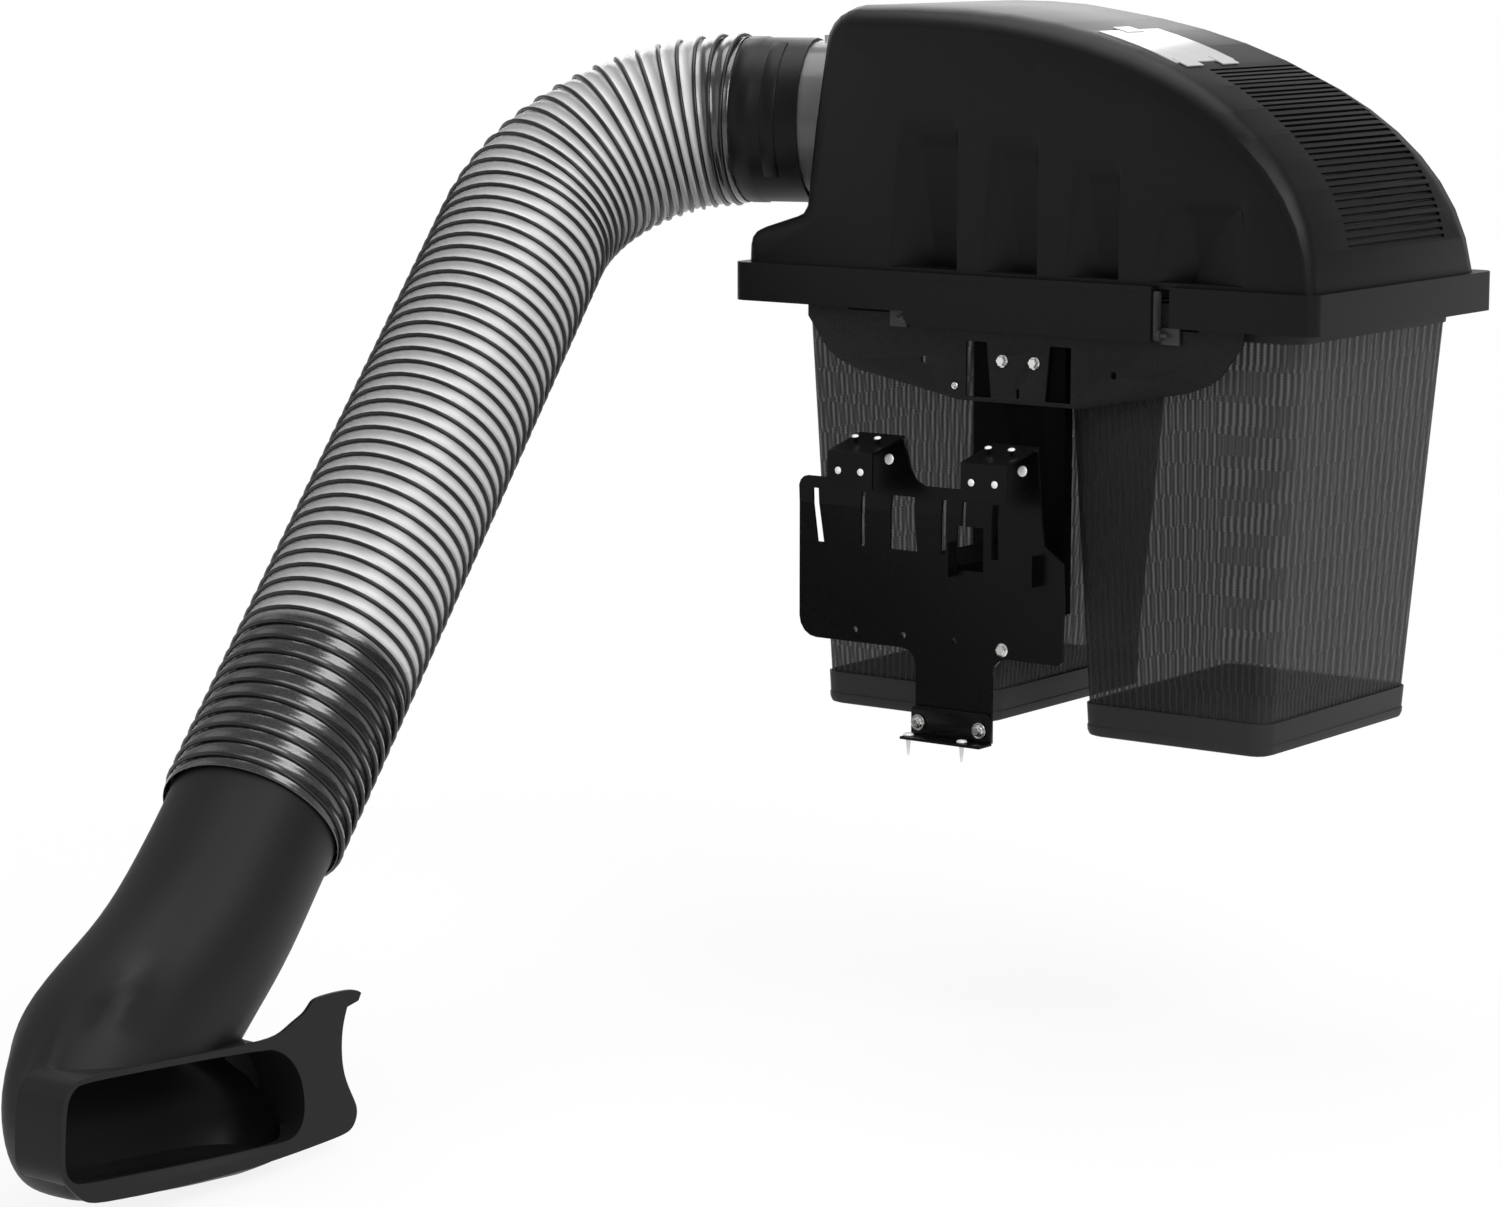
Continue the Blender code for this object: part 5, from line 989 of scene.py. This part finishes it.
def build_stage():
    """Lay the floor, light the world and the lamps, and stand the camera at the photograph's angle."""
    settings = bpy.context.scene.bagger_stage
    scene = bpy.context.scene
    scene.view_settings.view_transform = "Standard"
    bm = bmesh.new()
    bmesh.ops.create_grid(bm, x_segments=1, y_segments=1, size=30.0)
    bmesh.ops.translate(bm, verts=bm.verts, vec=(0, 0, CAD_BOX[0][2] - 0.002))
    floor = piece("floor", mesh_of(bm, "floor"), background_material())
    world = bpy.data.worlds.new("studio")
    world.use_nodes = True
    world.node_tree.nodes.clear()
    graph = Graph(world.node_tree)
    rays = graph.node("ShaderNodeLightPath")
    seen = rays + graph.other(rays, "Is Transmission Ray")
    level = seen * (1 - settings.world_level) + settings.world_level
    sky = graph.node("ShaderNodeBackground", None, {"Color": (1.0, 1.0, 1.0, 1.0), "Strength": level})
    graph.node("ShaderNodeOutputWorld", None, {0: sky})
    scene.world = world
    middle = (-0.1, 0.0, 0.1)
    lamp("key", (3.2, -1.2, 3.0), middle, 2.6, settings.key_power)
    lamp("fill", (-3.4, -3.2, 1.6), middle, 3.2, settings.fill_power)
    lamp("top", (-0.6, 0.6, 4.0), middle, 3.0, settings.top_power)
    lamp("back", (-2.6, 3.2, 2.2), middle, 2.6, settings.back_power)
    data = bpy.data.cameras.new("camera")
    data.lens = settings.lens
    data.sensor_width = 36.0
    data.clip_start = 0.1
    data.clip_end = 120.0
    camera = link(bpy.data.objects.new("camera", data))
    turn = math.radians(settings.azimuth)
    down = math.radians(settings.elevation)
    back = Vector((math.sin(turn) * math.cos(down), -math.cos(turn) * math.cos(down), math.sin(down)))
    camera.location = settings.camera_place
    camera.rotation_euler = (-back).to_track_quat("-Z", "Y").to_euler()
    scene.camera = camera


# Settings

class BaggerFinish(bpy.types.PropertyGroup):
    """Levels of the black finishes."""
    plastic_level: bpy.props.FloatProperty(
        name="Plastic level", description="How light the black plastic is", default=0.0034, min=0.0, max=0.2,
        precision=4)
    steel_level: bpy.props.FloatProperty(
        name="Steel level", description="How light the coated steel is", default=0.0018, min=0.0, max=0.2,
        precision=4)


class BaggerHose(bpy.types.PropertyGroup):
    """Sizes and finish of the hose and of the collar's band."""
    radius: bpy.props.FloatProperty(
        name="Radius", description="Outside of the wire", default=0.1066, unit="LENGTH")
    wire: bpy.props.FloatProperty(
        name="Wire", description="Radius of the wire", default=0.0026, unit="LENGTH")
    pitch: bpy.props.FloatProperty(
        name="Pitch", description="Length of one turn of the wire", default=0.0215, unit="LENGTH")
    sag: bpy.props.FloatProperty(
        name="Sag", description="How far the film sags between two turns", default=0.0026, unit="LENGTH")
    film_level: bpy.props.FloatProperty(
        name="Film level", description="How light the film is", default=0.80, min=0.0, max=1.0)
    film_cover: bpy.props.FloatProperty(
        name="Film cover", description="How much of what is behind it one side of the film hides",
        default=0.66, min=0.0, max=1.0)
    band_start: bpy.props.FloatProperty(
        name="Band start", description="From the collar's hood end", default=0.028, unit="LENGTH")
    band_width: bpy.props.FloatProperty(
        name="Band width", description="Width of the collar's raised band", default=0.018, unit="LENGTH")
    band_height: bpy.props.FloatProperty(
        name="Band height", description="How far the band stands out", default=0.0016, unit="LENGTH")
    band_from: bpy.props.FloatProperty(
        name="Band from", description="Where the band starts round the collar, in degrees", default=-40.0)
    band_to: bpy.props.FloatProperty(
        name="Band to", description="Where the band ends round the collar, in degrees", default=70.0)


class BaggerBags(bpy.types.PropertyGroup):
    """The bags' net."""
    net_pitch: bpy.props.FloatProperty(
        name="Row pitch", description="From one level row of threads to the next", default=0.0034,
        unit="LENGTH", precision=4)
    net_rib: bpy.props.FloatProperty(
        name="Rib pitch", description="From one upright row of open meshes to the next", default=0.0090,
        unit="LENGTH", precision=4)
    net_open: bpy.props.FloatProperty(
        name="Openness", description="How much light the open rows let through", default=0.34, min=0.0,
        max=1.0)


class BaggerStage(bpy.types.PropertyGroup):
    """Camera, lamps and background."""
    lens: bpy.props.FloatProperty(
        name="Lens", description="Focal length on a 36 mm sensor", default=105.6)
    azimuth: bpy.props.FloatProperty(
        name="Azimuth", description="How far round to the right the camera stands, in degrees", default=36.57)
    elevation: bpy.props.FloatProperty(
        name="Elevation", description="How far down the camera looks, in degrees", default=9.09)
    camera_place: bpy.props.FloatVectorProperty(
        name="Camera place", description="Where the camera stands", size=3, subtype="TRANSLATION",
        default=(2.779, -4.089, 0.777))
    key_power: bpy.props.FloatProperty(
        name="Key", description="Power of the lamp at the right", default=140.0)
    fill_power: bpy.props.FloatProperty(
        name="Fill", description="Power of the lamp at the left", default=20.0)
    top_power: bpy.props.FloatProperty(
        name="Top", description="Power of the lamp above", default=90.0)
    back_power: bpy.props.FloatProperty(
        name="Back", description="Power of the lamp behind", default=50.0)
    world_level: bpy.props.FloatProperty(
        name="World level", description="Light that comes from all round", default=0.45, min=0.0, max=1.0)
    floor_white: bpy.props.FloatProperty(
        name="Floor white", description="How much of the floor's shadow is washed out", default=0.86, min=0.0,
        max=1.0)


# Operators

class BAGGER_OT_stage(bpy.types.Operator):
    """Set up the camera, the lamps and the floor"""
    bl_idname = "bagger.stage"
    bl_label = "Stage"

    def execute(self, context):
        build_stage()
        return {"FINISHED"}


class BAGGER_OT_materials(bpy.types.Operator):
    """Make the finishes that the pieces share"""
    bl_idname = "bagger.materials"
    bl_label = "Finishes"

    def execute(self, context):
        FINISH.update(all_materials())
        return {"FINISHED"}


class BAGGER_OT_hood(bpy.types.Operator):
    """Show the hood, its window, its neck and the collar"""
    bl_idname = "bagger.hood"
    bl_label = "Hood"

    def execute(self, context):
        build_hood()
        return {"FINISHED"}


class BAGGER_OT_hose(bpy.types.Operator):
    """Make the wire-wound hose"""
    bl_idname = "bagger.hose"
    bl_label = "Hose"

    def execute(self, context):
        build_hose()
        return {"FINISHED"}


class BAGGER_OT_boot(bpy.types.Operator):
    """Show the boot"""
    bl_idname = "bagger.boot"
    bl_label = "Boot"

    def execute(self, context):
        build_boot()
        return {"FINISHED"}


class BAGGER_OT_bags(bpy.types.Operator):
    """Make the net bags with their pans and rims"""
    bl_idname = "bagger.bags"
    bl_label = "Bags"

    def execute(self, context):
        build_bags()
        return {"FINISHED"}


class BAGGER_OT_metalwork(bpy.types.Operator):
    """Show the plate, the bracket, the post and the other steel pieces"""
    bl_idname = "bagger.metalwork"
    bl_label = "Metalwork"

    def execute(self, context):
        build_metalwork()
        return {"FINISHED"}


class BAGGER_OT_fasteners(bpy.types.Operator):
    """Set the bolts, washers, rivets and pins"""
    bl_idname = "bagger.fasteners"
    bl_label = "Fasteners"

    def execute(self, context):
        build_fasteners()
        return {"FINISHED"}


OPERATORS = (BAGGER_OT_stage, BAGGER_OT_materials, BAGGER_OT_hood, BAGGER_OT_hose, BAGGER_OT_boot,
             BAGGER_OT_bags, BAGGER_OT_metalwork, BAGGER_OT_fasteners)
GROUPS = {"bagger_finish": BaggerFinish, "bagger_hose": BaggerHose, "bagger_bags": BaggerBags,
          "bagger_stage": BaggerStage}


class BAGGER_PT_panel(bpy.types.Panel):
    """Settings and steps of the twin bagger"""
    bl_idname = "BAGGER_PT_panel"
    bl_label = "Twin bagger"
    bl_space_type = "VIEW_3D"
    bl_region_type = "UI"
    bl_category = "Twin bagger"

    def draw(self, context):
        layout = self.layout
        for word, group in GROUPS.items():
            box = layout.box()
            settings = getattr(context.scene, word)
            for key in group.__annotations__:
                box.prop(settings, key)
        for step in OPERATORS:
            layout.operator(step.bl_idname)


CLASSES = (*GROUPS.values(), *OPERATORS, BAGGER_PT_panel)


def register():
    """Add the classes and the scene's settings."""
    for cls in CLASSES:
        bpy.utils.register_class(cls)
    for word, group in GROUPS.items():
        setattr(bpy.types.Scene, word, bpy.props.PointerProperty(type=group))


def unregister():
    """Take the settings and the classes away again."""
    for word in GROUPS:
        delattr(bpy.types.Scene, word)
    for cls in reversed(CLASSES):
        bpy.utils.unregister_class(cls)


def main():
    """Register and run every step in order."""
    register()
    bpy.ops.bagger.stage()
    bpy.ops.bagger.materials()
    bpy.ops.bagger.hood()
    bpy.ops.bagger.hose()
    bpy.ops.bagger.boot()
    bpy.ops.bagger.bags()
    bpy.ops.bagger.metalwork()
    bpy.ops.bagger.fasteners()


if __name__ == "__main__":
    main()
